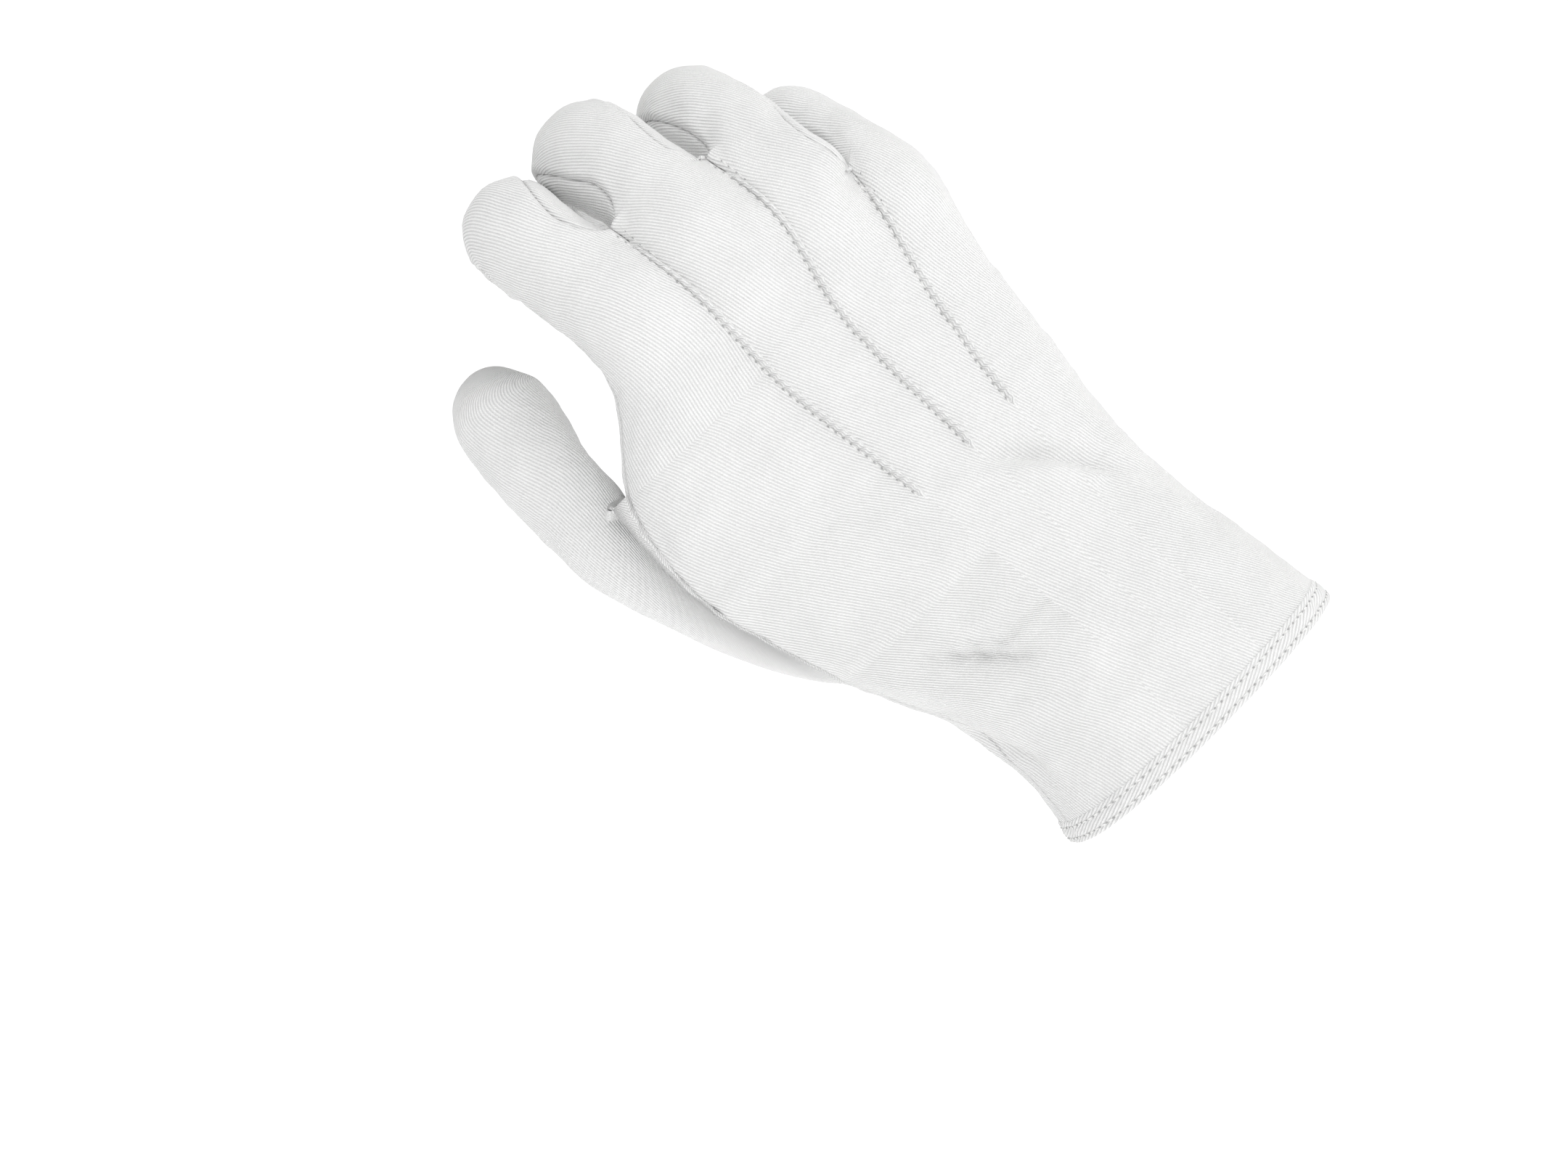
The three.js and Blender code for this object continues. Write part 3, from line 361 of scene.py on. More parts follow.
def trace(finger):
    """Directions, joints and the middle line, the running sum of short steps."""
    lean, twist = finger["lean"] * RAD, finger["twist"] * RAD
    along = np.array([np.sin(lean), 0, np.cos(lean)])
    palmward = np.array([np.sin(twist), np.cos(twist), 0])
    palmward = unit(palmward - palmward @ along * along)
    base = np.array(
        [finger["across"] * PALM_BREADTH, finger["deep"] * PALM_DEPTH, finger["up"] * PALM_LENGTH]
    )
    bones = np.array(finger["bones"]) * FINGER_LENGTH
    finger = dict(finger, half=finger["half"] * PALM_BREADTH, thick=finger["thick"] * PALM_DEPTH)
    finger["joints"] = base[2] + np.concatenate([[0], np.cumsum(bones[:2])])
    finger["end"] = base[2] + bones.sum()
    s = np.arange(base[2] - LINE_START * PALM_LENGTH, finger["end"] + 2 * LINE_STEP, LINE_STEP)
    bend = bend_at(finger, s + LINE_STEP / 2)[:, None]
    steps = (np.cos(bend) * along + np.sin(bend) * palmward) * LINE_STEP
    line = np.concatenate([[np.zeros(3)], np.cumsum(steps, 0)[:-1]])
    line = line - on_line(base[2], s, line) + base
    finger.update(along=along, palmward=palmward, across=np.cross(palmward, along))
    finger.update(base=base, s=s, line=line)
    return finger


fingers = [dict(trace(finger), number=number) for number, finger in enumerate(FINGERS)]


def finger_out(finger, s):
    """Outwards from the finger's back: the palm's direction turned away by the bend."""
    bend = bend_at(finger, s)[..., None]
    return np.sin(bend) * finger["along"] - np.cos(bend) * finger["palmward"]


CREASE = 0.5  # depth of the creases inside a bent joint
CREASE_PITCH = 4.6
RIPPLE_SHIFT = 40  # sets the fingers' ripples apart


def finger_relief(finger, turn, s):
    """Cosine creases under each joint, fading along the finger and towards its back."""
    under = np.clip(-np.sin(turn), 0, 1)
    total = 0
    for joint in finger["joints"][1:]:
        off = s - joint
        total = total + np.cos(2 * np.pi * off / CREASE_PITCH) * bell(off, 0, CREASE_PITCH)
    return CREASE * under * total + ripple(turn * FINGER_RADIUS + RIPPLE_SHIFT * finger["half"], s)


SLIT_PLACE, SLIT_SPREAD = 9.0, 9.0  # past the crotch
SLIT_OPEN = (0.9, 0.35, 0.9)  # what each wall of a slit draws back
SLIT_END, SLIT_CLOSE = 29.0, 0.7  # where the fingers lean on each other again, and what they swell


def beside_slit(s, k):
    """A bell centred a little past crotch k."""
    if not 0 <= k < LAST:
        return 0 * s
    return bell(s - CROTCHES[k], SLIT_PLACE, SLIT_SPREAD)


def slit_wall(s, k):
    """What a finger's side draws back beside a slit, less what it swells at the slit's far end."""
    if not 0 <= k < LAST:
        return 0 * s
    return SLIT_OPEN[k] * beside_slit(s, k) - SLIT_CLOSE * bell(s - CROTCHES[k], SLIT_END, SLIT_SPREAD)


def tube_point(finger, turn, s, inset):
    """The middle line, plus an ellipse that narrows to a round end."""
    turn, s, inset = np.broadcast_arrays(turn, s, inset)
    end = finger["end"] - inset
    station = np.minimum(s, end)
    middle = on_line(station, finger["s"], finger["line"])
    tip = round_end(station, end, TIP_LENGTH * finger["thick"])
    start = finger["base"][2] + TAPER_START * PALM_LENGTH
    taper = 1 - FINGER_TAPER * smooth((station - start) / (end - start))
    push = inset + finger_relief(finger, turn, station) * tip
    i = finger["number"]
    slit = np.where(np.cos(turn) > 0, slit_wall(station, i), slit_wall(station, i - 1))
    across = (finger["half"] * taper - push - slit) * tip * np.cos(turn)
    deep = (finger["thick"] * taper - push) * tip * np.sin(turn)
    return middle + across[..., None] * finger["across"] + deep[..., None] * finger_out(finger, station)


print("fingers end", [round(float(f["end"]), 1) for f in fingers], "mm along their lines")

# %% [markdown]
# ## The wrist vent
#
# On the palm side the cuff is slit. The thumb side's edge sweeps away in a curve, and the other side
# folds out on itself, so that its inner face and the press stud's socket show. Both edges are measured
# down from the slit's round top.

# %% The vent's edges
VENT_CENTRE = VENT_LENGTH - VENT_RADIUS
PANEL_RADIUS = VENT_RADIUS + BINDING_WIDTH + SEAM_GAP
PANEL_APEX = VENT_CENTRE + PANEL_RADIUS


def drop_at(z):
    return np.clip((VENT_CENTRE - z) / VENT_CENTRE, 0, 1)


def vent_size(name, z):
    return follow(VENT_EDGES["drop"], VENT_EDGES[name], drop_at(z)) * PALM_BREADTH


def line_x(table, k, z):
    return follow(table["at"], table["lines"][k], np.clip(z / PALM_LENGTH, 0, BODY_TOP)) * PALM_BREADTH


def vent_turn(edge, radius, z):
    """Angle of one edge: half the round top's chord plus the table's sweep, from the vent's middle line."""
    centre = turn_at(line_x(PALM_LINES, 0, z), z, -1)
    chord = np.sqrt(np.clip(radius**2 - np.clip(z - VENT_CENTRE, 0, None) ** 2, 0, None))
    away = chord + vent_size(edge, z)
    return centre + turn_for(-away if edge == "thumb" else away, centre, z)


def line_turn(k, z, side):
    """Angle of the k-th line between fingers. Below the vent's top the palm's lines stay off its fold."""
    plain = turn_at(line_x(BACK_LINES if side > 0 else PALM_LINES, k, z), z, side)
    if side > 0:
        return plain
    room = 1 - max(k, 1) / (LAST + 1)
    return np.where(z < PANEL_APEX, np.maximum(plain, vent_turn("fold", PANEL_RADIUS, z) * room), plain)


THUMB_SEAM = dict(back=20, palm=60, fullness=0.75, skew=1.5)
SEAM_LOW, SEAM_HIGH = 0.423 * PALM_LENGTH, 0.831 * PALM_LENGTH


def seam_turn(z, side):
    """How far the thumb's seam goes round on to the back or the palm: a sine raised to a power."""
    t = np.clip((z - SEAM_LOW) / (SEAM_HIGH - SEAM_LOW), 0, 1)
    if side < 0:
        t = t ** THUMB_SEAM["skew"]
    reach = THUMB_SEAM["back" if side > 0 else "palm"] * RAD
    return reach * np.clip(np.sin(np.pi * t), 0, None) ** THUMB_SEAM["fullness"]


SLIT_LIFT = (22 * RAD, 10 * RAD, 26 * RAD)  # how much higher the strip starts beside a slit


def strip_turn(finger, s, k):
    """Half the strip's angle: wider beside the slit at crotch k, and closing to nothing at the fingertip."""
    tip = TIP_LENGTH * finger["thick"]
    wide = STRIP + (SLIT_LIFT[k] * beside_slit(s, k) if 0 <= k < LAST else 0)
    return wide * (1 - smooth((s - (finger["end"] - STRIP_CLOSES[0] * tip)) / (STRIP_CLOSES[1] * tip)))


print("the vent's round top is", PANEL_APEX, "mm up")

# %% [markdown]
# ## One strip of cloth for each finger
#
# A strip runs from the cuff to a fingertip, on the back or on the palm. Below the crotch its edge meets
# its neighbour's half way; above the crotch a quarter circle opens the gap between the fingers.

# %% Strips


def plain_point(i, q, s, side, inset, turn=None):
    """The hand's section where the strip starts, melting into the finger's tube. q runs over the strip."""
    finger = fingers[i]
    z = np.minimum(s, BODY_TOP * PALM_LENGTH)
    start = np.pi if i == 0 else np.pi - strip_turn(finger, s, i - 1)
    stop = 0 if i == LAST else strip_turn(finger, s, i)
    on_finger = side * (start + (stop - start) * q) if turn is None else turn
    low = side * (np.pi - seam_turn(z, side)) if i == 0 else line_turn(i - 1, z, side)
    high = 0 * z if i == LAST else line_turn(i, z, side)
    if side < 0 and i == 0:
        high = np.where(z < PANEL_APEX, vent_turn("thumb", PANEL_RADIUS, z), high)
    if side < 0 and i == 1:
        low = np.where(z < PANEL_APEX, vent_turn("fold", PANEL_RADIUS, z), low)
    merge = smooth((s - (finger["base"][2] - MERGE_START * PALM_LENGTH)) / (MERGE_RUN * PALM_LENGTH))
    merge = np.broadcast_to(merge, np.broadcast(q, s, inset).shape)[..., None]
    body = body_point(low + (high - low) * q, z, inset)
    return body + (tube_point(finger, on_finger, s, inset) - body) * merge


JOIN_SOFT = 6.0
JOIN_EDGE = 0.75


def closing(s, crotch, inset, pull):
    """1 below a crotch and a quarter circle down to 0 above it; away from the edge a smooth step instead."""
    t = np.clip((s - crotch + inset) / (CROTCH_RADIUS + inset), 0, 1)
    round_end = 1 - np.sqrt(np.clip(1 - (1 - t) ** 2, 0, None))
    soft = 1 - smooth((s - crotch + JOIN_SOFT) / (2 * JOIN_SOFT))
    return soft + (round_end - soft) * smooth((pull - JOIN_EDGE) / (1 - JOIN_EDGE))


def hand_point(i, q, s, side, inset=0.0, turn=None):
    """A strip's own place, moved half the way from its edge to its neighbour's edge, as far as they join."""
    q, s, inset = np.broadcast_arrays(np.asarray(q, float), s, inset)
    after = smooth((q - 1 + JOIN_REACH) / JOIN_REACH) if i < LAST else 0 * q
    before = smooth((JOIN_REACH - q) / JOIN_REACH) if i > 0 else 0 * q
    station = s
    for pull, k in ((after, i), (before, i - 1)):
        if 0 <= k < LAST:
            near = smooth(1 - np.abs(s - CROTCHES[k]) / CROTCH_RADIUS)
            station = station - np.clip(inset, 0, None) * pull * near
    above_vent = 1.0 if side > 0 else smooth((s - PANEL_APEX) / VENT_LENGTH)
    deeper = np.clip(inset, 0, None)
    mirrored = None if turn is None else np.pi - turn
    point = plain_point(i, q, station, side, inset, turn)
    for pull, k, edge, mate in ((after, i, 1.0, i + 1), (before, i - 1, 0.0, i - 1)):
        if not 0 <= k < LAST:
            continue
        here = plain_point(i, edge, station, side, inset, turn)
        there = plain_point(mate, 1 - edge, station, side, inset, mirrored)
        weight = (above_vent if k == 0 else 1.0) * closing(station, CROTCHES[k], deeper, pull)
        point = point + (there - here) * (pull * weight / 2)[..., None]
    return point


def flap_point(reach, z, inset):
    """The flap rolled out over a small radius at the fold, then lying flat on the cuff."""
    fold = vent_turn("fold", PANEL_RADIUS, z)
    full = np.pi * smooth(drop_at(z) / ROLL_START)
    bend = np.minimum(reach / FLAP_ROLL, full)
    straight = reach - bend * FLAP_ROLL
    radius = FLAP_ROLL + inset
    lift = FLAP_ROLL - radius * np.cos(bend) + straight * np.sin(bend)
    slide = -radius * np.sin(bend) - straight * np.cos(bend)
    return body_point(fold + turn_for(slide, fold, z), z, -lift)


print("the first crotch is at", np.round(hand_point(0, 1.0, CROTCHES[0], 1), 1))

# %% [markdown]
# ## From arrays to meshes
#
# Each sheet is worked out on its outer face and a little inside it, which tells which way is out. Its UV
# map is the distance along the cloth, so that the knit keeps its size round every bend. Solidify then
# gives the knit its thickness.

# %% Mesh helpers
WELD = 2e-5  # metres
DEEPER = 0.5


def cloth_uv(grid):
    """Running distance over the rows, from the column that bends least, and along that column, in metres."""
    across = np.linalg.norm(np.diff(grid, axis=1), axis=-1)
    u = np.concatenate([np.zeros((len(grid), 1)), np.cumsum(across, 1)], 1)
    steady = 0
    if len(grid) > 2:
        steady = int(np.argmin(np.linalg.norm(np.diff(grid, 2, axis=0), axis=-1).sum(0)))
    u = u - u[:, steady][:, None]
    v = running(grid[:, steady])
    return np.stack([u, np.broadcast_to(v[:, None], u.shape)], -1) * MM


def facing_out(place):
    """The outer grid, with its columns reversed if its faces would look inwards."""
    outer, inner = place(0.0), place(DEEPER)
    span = np.cross(outer[1:, 1:] - outer[:-1, :-1], outer[1:, :-1] - outer[:-1, 1:])
    out = (outer - inner)[:-1, :-1]
    return outer if np.sum(span * out) > 0 else outer[:, ::-1]


def make_mesh(name, grids, material, thickness=0.0):
    """Quads over every grid, welded where grids meet."""
    corners, faces, uvs, count = [], [], [], 0
    for grid in grids:
        rows, columns = grid.shape[:2]
        index = count + np.arange(rows * columns).reshape(rows, columns)
        quads = np.stack([index[:-1, :-1], index[:-1, 1:], index[1:, 1:], index[1:, :-1]], -1)
        corners.append(grid.reshape(-1, 3) * MM)
        uvs.append(cloth_uv(grid).reshape(-1, 2))
        faces.append(quads.reshape(-1, 4))
        count += rows * columns
    corners, faces, uvs = (np.concatenate(part) for part in (corners, faces, uvs))
    mesh = bpy.data.meshes.new(name)
    mesh.from_pydata(corners.tolist(), [], faces.tolist())
    mesh.uv_layers.new(name="cloth").data.foreach_set("uv", uvs[faces.ravel()].ravel())
    work = bmesh.new()
    work.from_mesh(mesh)
    bmesh.ops.remove_doubles(work, verts=work.verts, dist=WELD)
    bmesh.ops.dissolve_degenerate(work, edges=work.edges, dist=WELD / 4)
    work.to_mesh(mesh)
    work.free()
    mesh.shade_smooth()
    mesh.materials.append(material)
    piece = add_object(name, mesh)
    if thickness:
        wall = piece.modifiers.new("thickness", "SOLIDIFY")
        wall.thickness = thickness * MM
        wall.offset = -1
    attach(piece, "root")
    print(name, len(mesh.polygons), "faces")
    return piece


# %% [markdown]
# ## Shader maths
#
# A small class wraps a socket, so that a pattern is written as an expression: each operator adds a Math
# node.

# %% Shader expressions


class Shade:
    def __init__(self, tree, socket):
        self.tree, self.socket = tree, socket

    def math(self, operation, *others):
        node = self.tree.nodes.new("ShaderNodeMath")
        node.operation = operation
        for slot, value in zip(node.inputs, (self, *others)):
            if isinstance(value, Shade):
                self.tree.links.new(value.socket, slot)
            else:
                slot.default_value = value
        return Shade(self.tree, node.outputs[0])

    def __add__(self, other):
        return self.math("ADD", other)

    def __mul__(self, other):
        return self.math("MULTIPLY", other)

    def __abs__(self):
        return self.math("ABSOLUTE")

    def sine(self):
        return self.math("SINE")


class Maker:
    def __init__(self, name):
        self.material = bpy.data.materials.new(name)
        self.material.use_nodes = True
        self.tree = self.material.node_tree
        self.shader = self.tree.nodes["Principled BSDF"]

    def node(self, kind, settings=(), **sockets):
        """Any node: its settings first, then values or links for its named sockets."""
        node = self.tree.nodes.new(kind)
        for key, value in dict(settings).items():
            setattr(node, key, value)
        for key, value in sockets.items():
            self.feed(node.inputs[key.replace("_", " ")], value)
        return node

    def feed(self, socket, value):
        if isinstance(value, Shade):
            self.tree.links.new(value.socket, socket)
        elif isinstance(value, bpy.types.NodeSocket):
            self.tree.links.new(value, socket)
        else:
            socket.default_value = value

    def look(self, **sockets):
        for key, value in sockets.items():
            self.feed(self.shader.inputs[key.replace("_", " ")], value)

    def noise(self, scale, detail=2.0):
        """Noise over the object's own place."""
        place = self.node("ShaderNodeTexCoord").outputs["Object"]
        return self.out(self.node("ShaderNodeTexNoise", Vector=place, Scale=scale, Detail=detail), "Fac")

    def spread(self, value, low, high):
        return self.node("ShaderNodeMapRange", Value=value, To_Min=low, To_Max=high).outputs[0]

    def out(self, node, name):
        return Shade(self.tree, node.outputs[name])


# %% [markdown]
# ## Cotton knit
#
# The glove is a fine white interlock knit. Its loops stand in columns three quarters of a millimetre
# apart that lean a little, and fine fuzz softens them. Two crossed sine waves on the UV map make the
# loops, a slow noise makes the cloth slightly uneven, and both feed a Bump node. Both also darken the
# base colour between the loops and in the slow dips, painted shade in the knit's hollows over a slightly
# uneven tone. Sheen gives the soft rim of cotton.

# %% Cotton
WALE = 0.00075  # metres between two columns of loops
COURSE = 0.0006
LEAN = 0.45  # of the columns, across for each length along
BUMP_HEIGHT = 0.0003


def make_cotton(name, colour, bump, painted_shade_range):
    maker = Maker(name)
    cloth = maker.node("ShaderNodeUVMap", {"uv_map": "cloth"}).outputs[0]
    uv = maker.node("ShaderNodeSeparateXYZ", Vector=cloth)
    u, v = maker.out(uv, "X"), maker.out(uv, "Y")
    slow = maker.noise(90.0, 3.0)
    fuzz = maker.noise(2600.0)
    wander = slow * 1.2
    wales = abs(((u + v * LEAN) * (np.pi / WALE) + wander).sine())
    courses = abs((v * (np.pi / COURSE) + wander * 0.7).sine())
    loops = wales * 0.65 + courses * wales * 0.35
    height = loops + fuzz * 0.5 + slow * 0.6
    relief = maker.node("ShaderNodeBump", Strength=bump, Distance=BUMP_HEIGHT, Height=height)
    # The base colour is darkened between the loops and in the slow dips, where the bump sinks: painted shade
    # in the knit's hollows, over a slightly uneven tone.
    painted_shade_and_tone = maker.spread(loops * 0.5 + slow * 0.5, *painted_shade_range)
    blend = {"data_type": "RGBA", "blend_type": "MULTIPLY"}
    mix = maker.node("ShaderNodeMix", blend, Factor=1.0, A=(*colour, 1), B=painted_shade_and_tone)
    maker.look(Base_Color=mix.outputs["Result"], Normal=relief.outputs[0], Roughness=0.92)
    maker.look(Specular_IOR_Level=0.2, Sheen_Weight=0.25, Sheen_Roughness=0.5)
    return maker.material


WHITE = (0.94, 0.94, 0.935)
# Each knit's colour carries painted shade in its hollows, within the range given by the last pair.
cotton = make_cotton("cotton_knit", WHITE, 0.9, (0.8, 1.02))
ribbon = make_cotton("hem_knit", WHITE, 0.9, (0.8, 1.02))
thread = make_cotton("sewing_thread", (0.9, 0.9, 0.89), 0.4, (0.85, 1.0))

# %% [markdown]
# ### Needle holes and nickel
#
# A needle hole is painted shade, a grey with a fine noise. The press stud is plated: smooth, with faint
# wear that blurs the gloss.

# %% Needle holes and nickel


def make_painted_hole_shade():
    maker = Maker("needle_hole")
    # The hole's grey is painted shade in the needle holes.
    maker.look(Base_Color=maker.spread(maker.noise(900.0), 0.36, 0.5), Roughness=1.0)
    return maker.material


def make_nickel():
    maker = Maker("nickel_plate")
    wear = maker.spread(maker.noise(700.0, 4.0), 0.12, 0.3)
    maker.look(Base_Color=(0.62, 0.625, 0.635, 1), Metallic=1.0, Roughness=wear)
    return maker.material


painted_hole_shade = make_painted_hole_shade()
nickel = make_nickel()
print("materials:", [m.name for m in bpy.data.materials])

# %% [markdown]
# ## Back and palm
#
# Each panel is four strips welded along the lines between the fingers. Near every sewn edge the cloth
# first swells over the seam allowance inside and then turns down into the seam, which makes the soft
# bright band beside each slit.

# %% Panels
SEAM_DIP, SEAM_DIP_REACH = 0.55, 0.7
WELT, WELT_PLACE, WELT_REACH = 0.28, 1.9, 0.9
PUCKER, PUCKER_PITCH = 0.25, 5.3
ROW_PITCH, LEAST_PITCH = 0.95, 0.12
CROTCH_ROWS, FINGER_ROWS, TIP_ROWS = 9, 60, 14
STRIP_COLUMNS, FLAP_COLUMNS, BREADTH_POINTS = 27, 22, 7
EDGE_CROWDING = 0.099
FADE_START, FADE_RUN = 1.3, 0.9  # in lengths of the rounded tip
OPEN_BEFORE, OPEN_RUN = 1, 5  # where the relief beside a slit starts, and over what length it grows


def seam_relief(distance, s, strength=1.0, dipping=1.0):
    """A bell-shaped dip at the edge less a bell-shaped welt beside it, puckered by a slow sine."""
    pucker = 1 + PUCKER * np.sin(2 * np.pi * s / PUCKER_PITCH + 1.3 * np.sin(s / 9.0))
    dip = SEAM_DIP * bell(distance, 0, SEAM_DIP_REACH)
    welt = WELT * pucker * bell(distance, WELT_PLACE, WELT_REACH)
    return strength * (dipping * dip - welt)


def spaced(rows):
    """The rows less those that follow another too closely."""
    kept = [rows[0]]
    for row in rows[1:]:
        if row - kept[-1] >= LEAST_PITCH:
            kept.append(row)
    return np.array(kept)


def quarter_turn(count):
    return np.linspace(0, np.pi / 2, count)


def panel_rows(finger):
    """Even rows, closer where a crotch or the vent's round top turns."""
    quarter = 1 - np.cos(quarter_turn(CROTCH_ROWS))
    rise = [crotch + CROTCH_RADIUS * quarter for crotch in CROTCHES]
    top = PANEL_APEX - PANEL_RADIUS * quarter
    foot = HEM_WIDTH - SEAM_GAP
    even = np.arange(foot, CROTCHES[0] + CROTCH_RADIUS, ROW_PITCH)
    common = np.concatenate([even, *rise, top, CROTCHES, [PANEL_APEX]])
    common = spaced(np.sort(common[common >= foot]))
    tip = TIP_LENGTH * finger["thick"]
    beyond = np.linspace(common[-1], finger["end"] - tip, FINGER_ROWS)[1:]
    cap = finger["end"] - tip + tip * np.sin(quarter_turn(TIP_ROWS))[1:]
    return np.concatenate([common, beyond, cap])


def strip_breadth(i, s, side):
    """Breadth of a strip at each row, from a few points over it."""
    q = np.linspace(0, 1, BREADTH_POINTS)[None, :]
    across = hand_point(i, q, s[:, None], side)
    return np.linalg.norm(np.diff(across, axis=1), axis=-1).sum(1)


def before_tip(finger, s):
    """1 up to the rounded fingertip, then smoothly down to 0, so that seams fade before they meet."""
    tip = TIP_LENGTH * finger["thick"]
    return 1 - smooth((s - (finger["end"] - FADE_START * tip)) / (FADE_RUN * tip))


def opened(rows, k):
    """0 below crotch k, where two strips are one cloth, and 1 above it. The hand's outer edges are open."""
    return smooth((rows - CROTCHES[k] + OPEN_BEFORE) / OPEN_RUN) if 0 <= k < LAST else 1.0


def strip_grid(i, side):
    finger = fingers[i]
    s = panel_rows(finger)
    even = np.linspace(0, 1, STRIP_COLUMNS)
    crowded = even - EDGE_CROWDING * np.sin(2 * np.pi * even)
    breadth = strip_breadth(i, s, side)[:, None]
    rows, columns = s[:, None], crowded[None, :]
    relief = seam_relief(columns * breadth, rows, opened(rows, i - 1), 1.0 if i else 0.0)
    relief = relief + seam_relief((1 - columns) * breadth, rows, opened(rows, i))
    relief = relief * before_tip(finger, rows)
    apart = side * SEAM_GAP / 2 * finger_out(finger, rows)
    return facing_out(lambda inset: hand_point(i, columns, rows, side, inset + relief) + apart)


def flap_grid():
    s = panel_rows(fingers[0])
    z = s[s <= PANEL_APEX][:, None]
    t = np.linspace(1, 0, FLAP_COLUMNS)[None, :]
    apart = np.array([0, SEAM_GAP / 2, 0])
    return facing_out(lambda inset: flap_point(vent_size("flap", z) * t, z, inset + 0 * t) + apart)


back_grids, palm_grids = ([strip_grid(i, side) for i in range(LAST + 1)] for side in (1, -1))
back = make_mesh("back_of_hand", back_grids, cotton, KNIT)
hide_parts("back_panel")
palm = make_mesh("palm_of_hand", palm_grids + [flap_grid()], cotton, KNIT)
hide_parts("palm_panel")

# %% [markdown]
# ## The strips between the fingers
#
# Between two fingers a narrow strip runs down the side of one, round the crotch and up the side of the
# next. It gives the fingers their thickness, and shows in the slits between the knuckles.

# %% Strips between fingers
BETWEEN_CROTCH_ROWS, BETWEEN_COLUMNS = 12, 17
BETWEEN_TOP = 0.85  # how far below a fingertip the strip ends, in lengths of the rounded tip
BETWEEN_TUCK = 0.1  # what its edges reach under the panels


def between_grid(i):
    quarter = 1 - np.cos(quarter_turn(BETWEEN_CROTCH_ROWS))
    c = np.linspace(-1, 1, BETWEEN_COLUMNS)[None, :]
    parts = []
    for k, own in ((i, True), (i + 1, False)):
        finger = fingers[k]
        top = finger["end"] - BETWEEN_TOP * TIP_LENGTH * finger["thick"]
        rise = CROTCHES[i] + CROTCH_RADIUS * quarter
        rows = np.concatenate([rise, np.linspace(rise[-1], top, FINGER_ROWS)[1:]])
        rows = (rows[::-1] if own else rows)[:, None]
        reach = strip_turn(finger, rows, i)
        turn = c * (reach + BETWEEN_TUCK / finger["thick"])
        edge = (1 - np.abs(c)) * reach * finger["thick"]
        relief = SEAM_DIP * bell(edge, 0, SEAM_DIP_REACH) * before_tip(finger, rows)
        parts.append((k, float(own), rows, turn if own else np.pi - turn, relief))

    def place(inset):
        sides = [hand_point(k, q, rows, 1, inset + relief, angle) for k, q, rows, angle, relief in parts]
        return np.concatenate([sides[0], sides[1][1:]])

    return facing_out(place)


for i, (one, other) in enumerate(zip(FINGERS, FINGERS[1:])):
    label = f"{one['name']}_{other['name']}"
    strip = make_mesh(f"strip_{label}", [between_grid(i)], cotton, KNIT)
    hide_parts(f"fourchette_{label}")

# %% [markdown]
# ## The thumb
#
# The thumb's sleeve is sewn into an oval seam on the hand's side. It stands off the hand first and bends
# away to the thumb's own line, so that its crotch keeps a full web, gathered at the seam.

# %% Thumb
THUMB_LINE = np.array(
    [
        (-0.66, 0.42, 0),
        (-0.705, 0.65, 0.279),
        (-0.705, 0.9, 0.558),
        (-0.663, 1.167, 0.791),
        (-0.628, 1.267, 0.895),
    ]
)  # across, deep and up, shares of PALM_BREADTH, PALM_DEPTH and THUMB_LENGTH
THUMB_BASE = 0.563
THUMB_SECTIONS = dict(
    along=[0, 0.35, 0.6, 0.8, 1],
    half=[0.48, 0.47, 0.455, 0.47, 0.44],
    thick=[0.5, 0.5, 0.475, 0.458, 0.417],
)
THUMB_MERGE = 0.42
THUMB_TIP = 0.55
THUMB_FACING = 8 * RAD
THUMB_SLANT = 0.46
THUMB_WEB, THUMB_BALL = 8.0, 2.0
THUMB_GAP = -0.4  # the sleeve starts under the hand's edge
THUMB_TUCK = 0.4
THUMB_PINCH, PINCH_PLACE, PINCH_SPREAD = 4.0, 0.57, 0.14  # draws the crotch side in above the seam
GATHER, GATHER_REACH, GATHER_COUNT = 0.45, 5.5, 26  # the gathers at the seam: height, length and number
WEB_POWER = 12  # how narrowly the relief leaves out the crotch
THUMB_RIPPLE = 11
SLEEVE_ROWS, SLEEVE_CROWDING, SLEEVE_TIP_ROWS, SLEEVE_COLUMNS = 130, 1.15, 20, 145
LINE_SAMPLES, LINE_POINTS = 120, 400


def blend(a, b, start, stop, t):
    return (stop - t) / (stop - start) * a + (t - start) / (stop - start) * b


def centripetal(points):
    """Catmull-Rom through the points, with knots a square root of distance apart, evenly resampled."""
    before, after = 2 * points[0] - points[1], 2 * points[-1] - points[-2]
    padded = np.concatenate([[before], points, [after]])
    dense = []
    for p0, p1, p2, p3 in zip(padded, padded[1:], padded[2:], padded[3:]):
        gaps = [np.linalg.norm(b - a) ** 0.5 for a, b in ((p0, p1), (p1, p2), (p2, p3))]
        k0, k1, k2, k3 = np.concatenate([[0], np.cumsum(gaps)])
        t = np.linspace(k1, k2, LINE_SAMPLES)[:, None]
        a1, a2, a3 = blend(p0, p1, k0, k1, t), blend(p1, p2, k1, k2, t), blend(p2, p3, k2, k3, t)
        dense.append(blend(blend(a1, a2, k0, k2, t), blend(a2, a3, k1, k3, t), k1, k2, t))
    dense = np.concatenate(dense)
    length = running(dense)
    return on_line(np.linspace(0, length[-1], LINE_POINTS), length, dense), length[-1]


thumb_line, thumb_run = centripetal(
    THUMB_LINE * [PALM_BREADTH, PALM_DEPTH, THUMB_LENGTH] + [0, 0, THUMB_BASE * PALM_LENGTH]
)
thumb_tangent = unit(np.gradient(thumb_line, axis=0))
tip_share = THUMB_TIP * THUMB_BREADTH / thumb_run


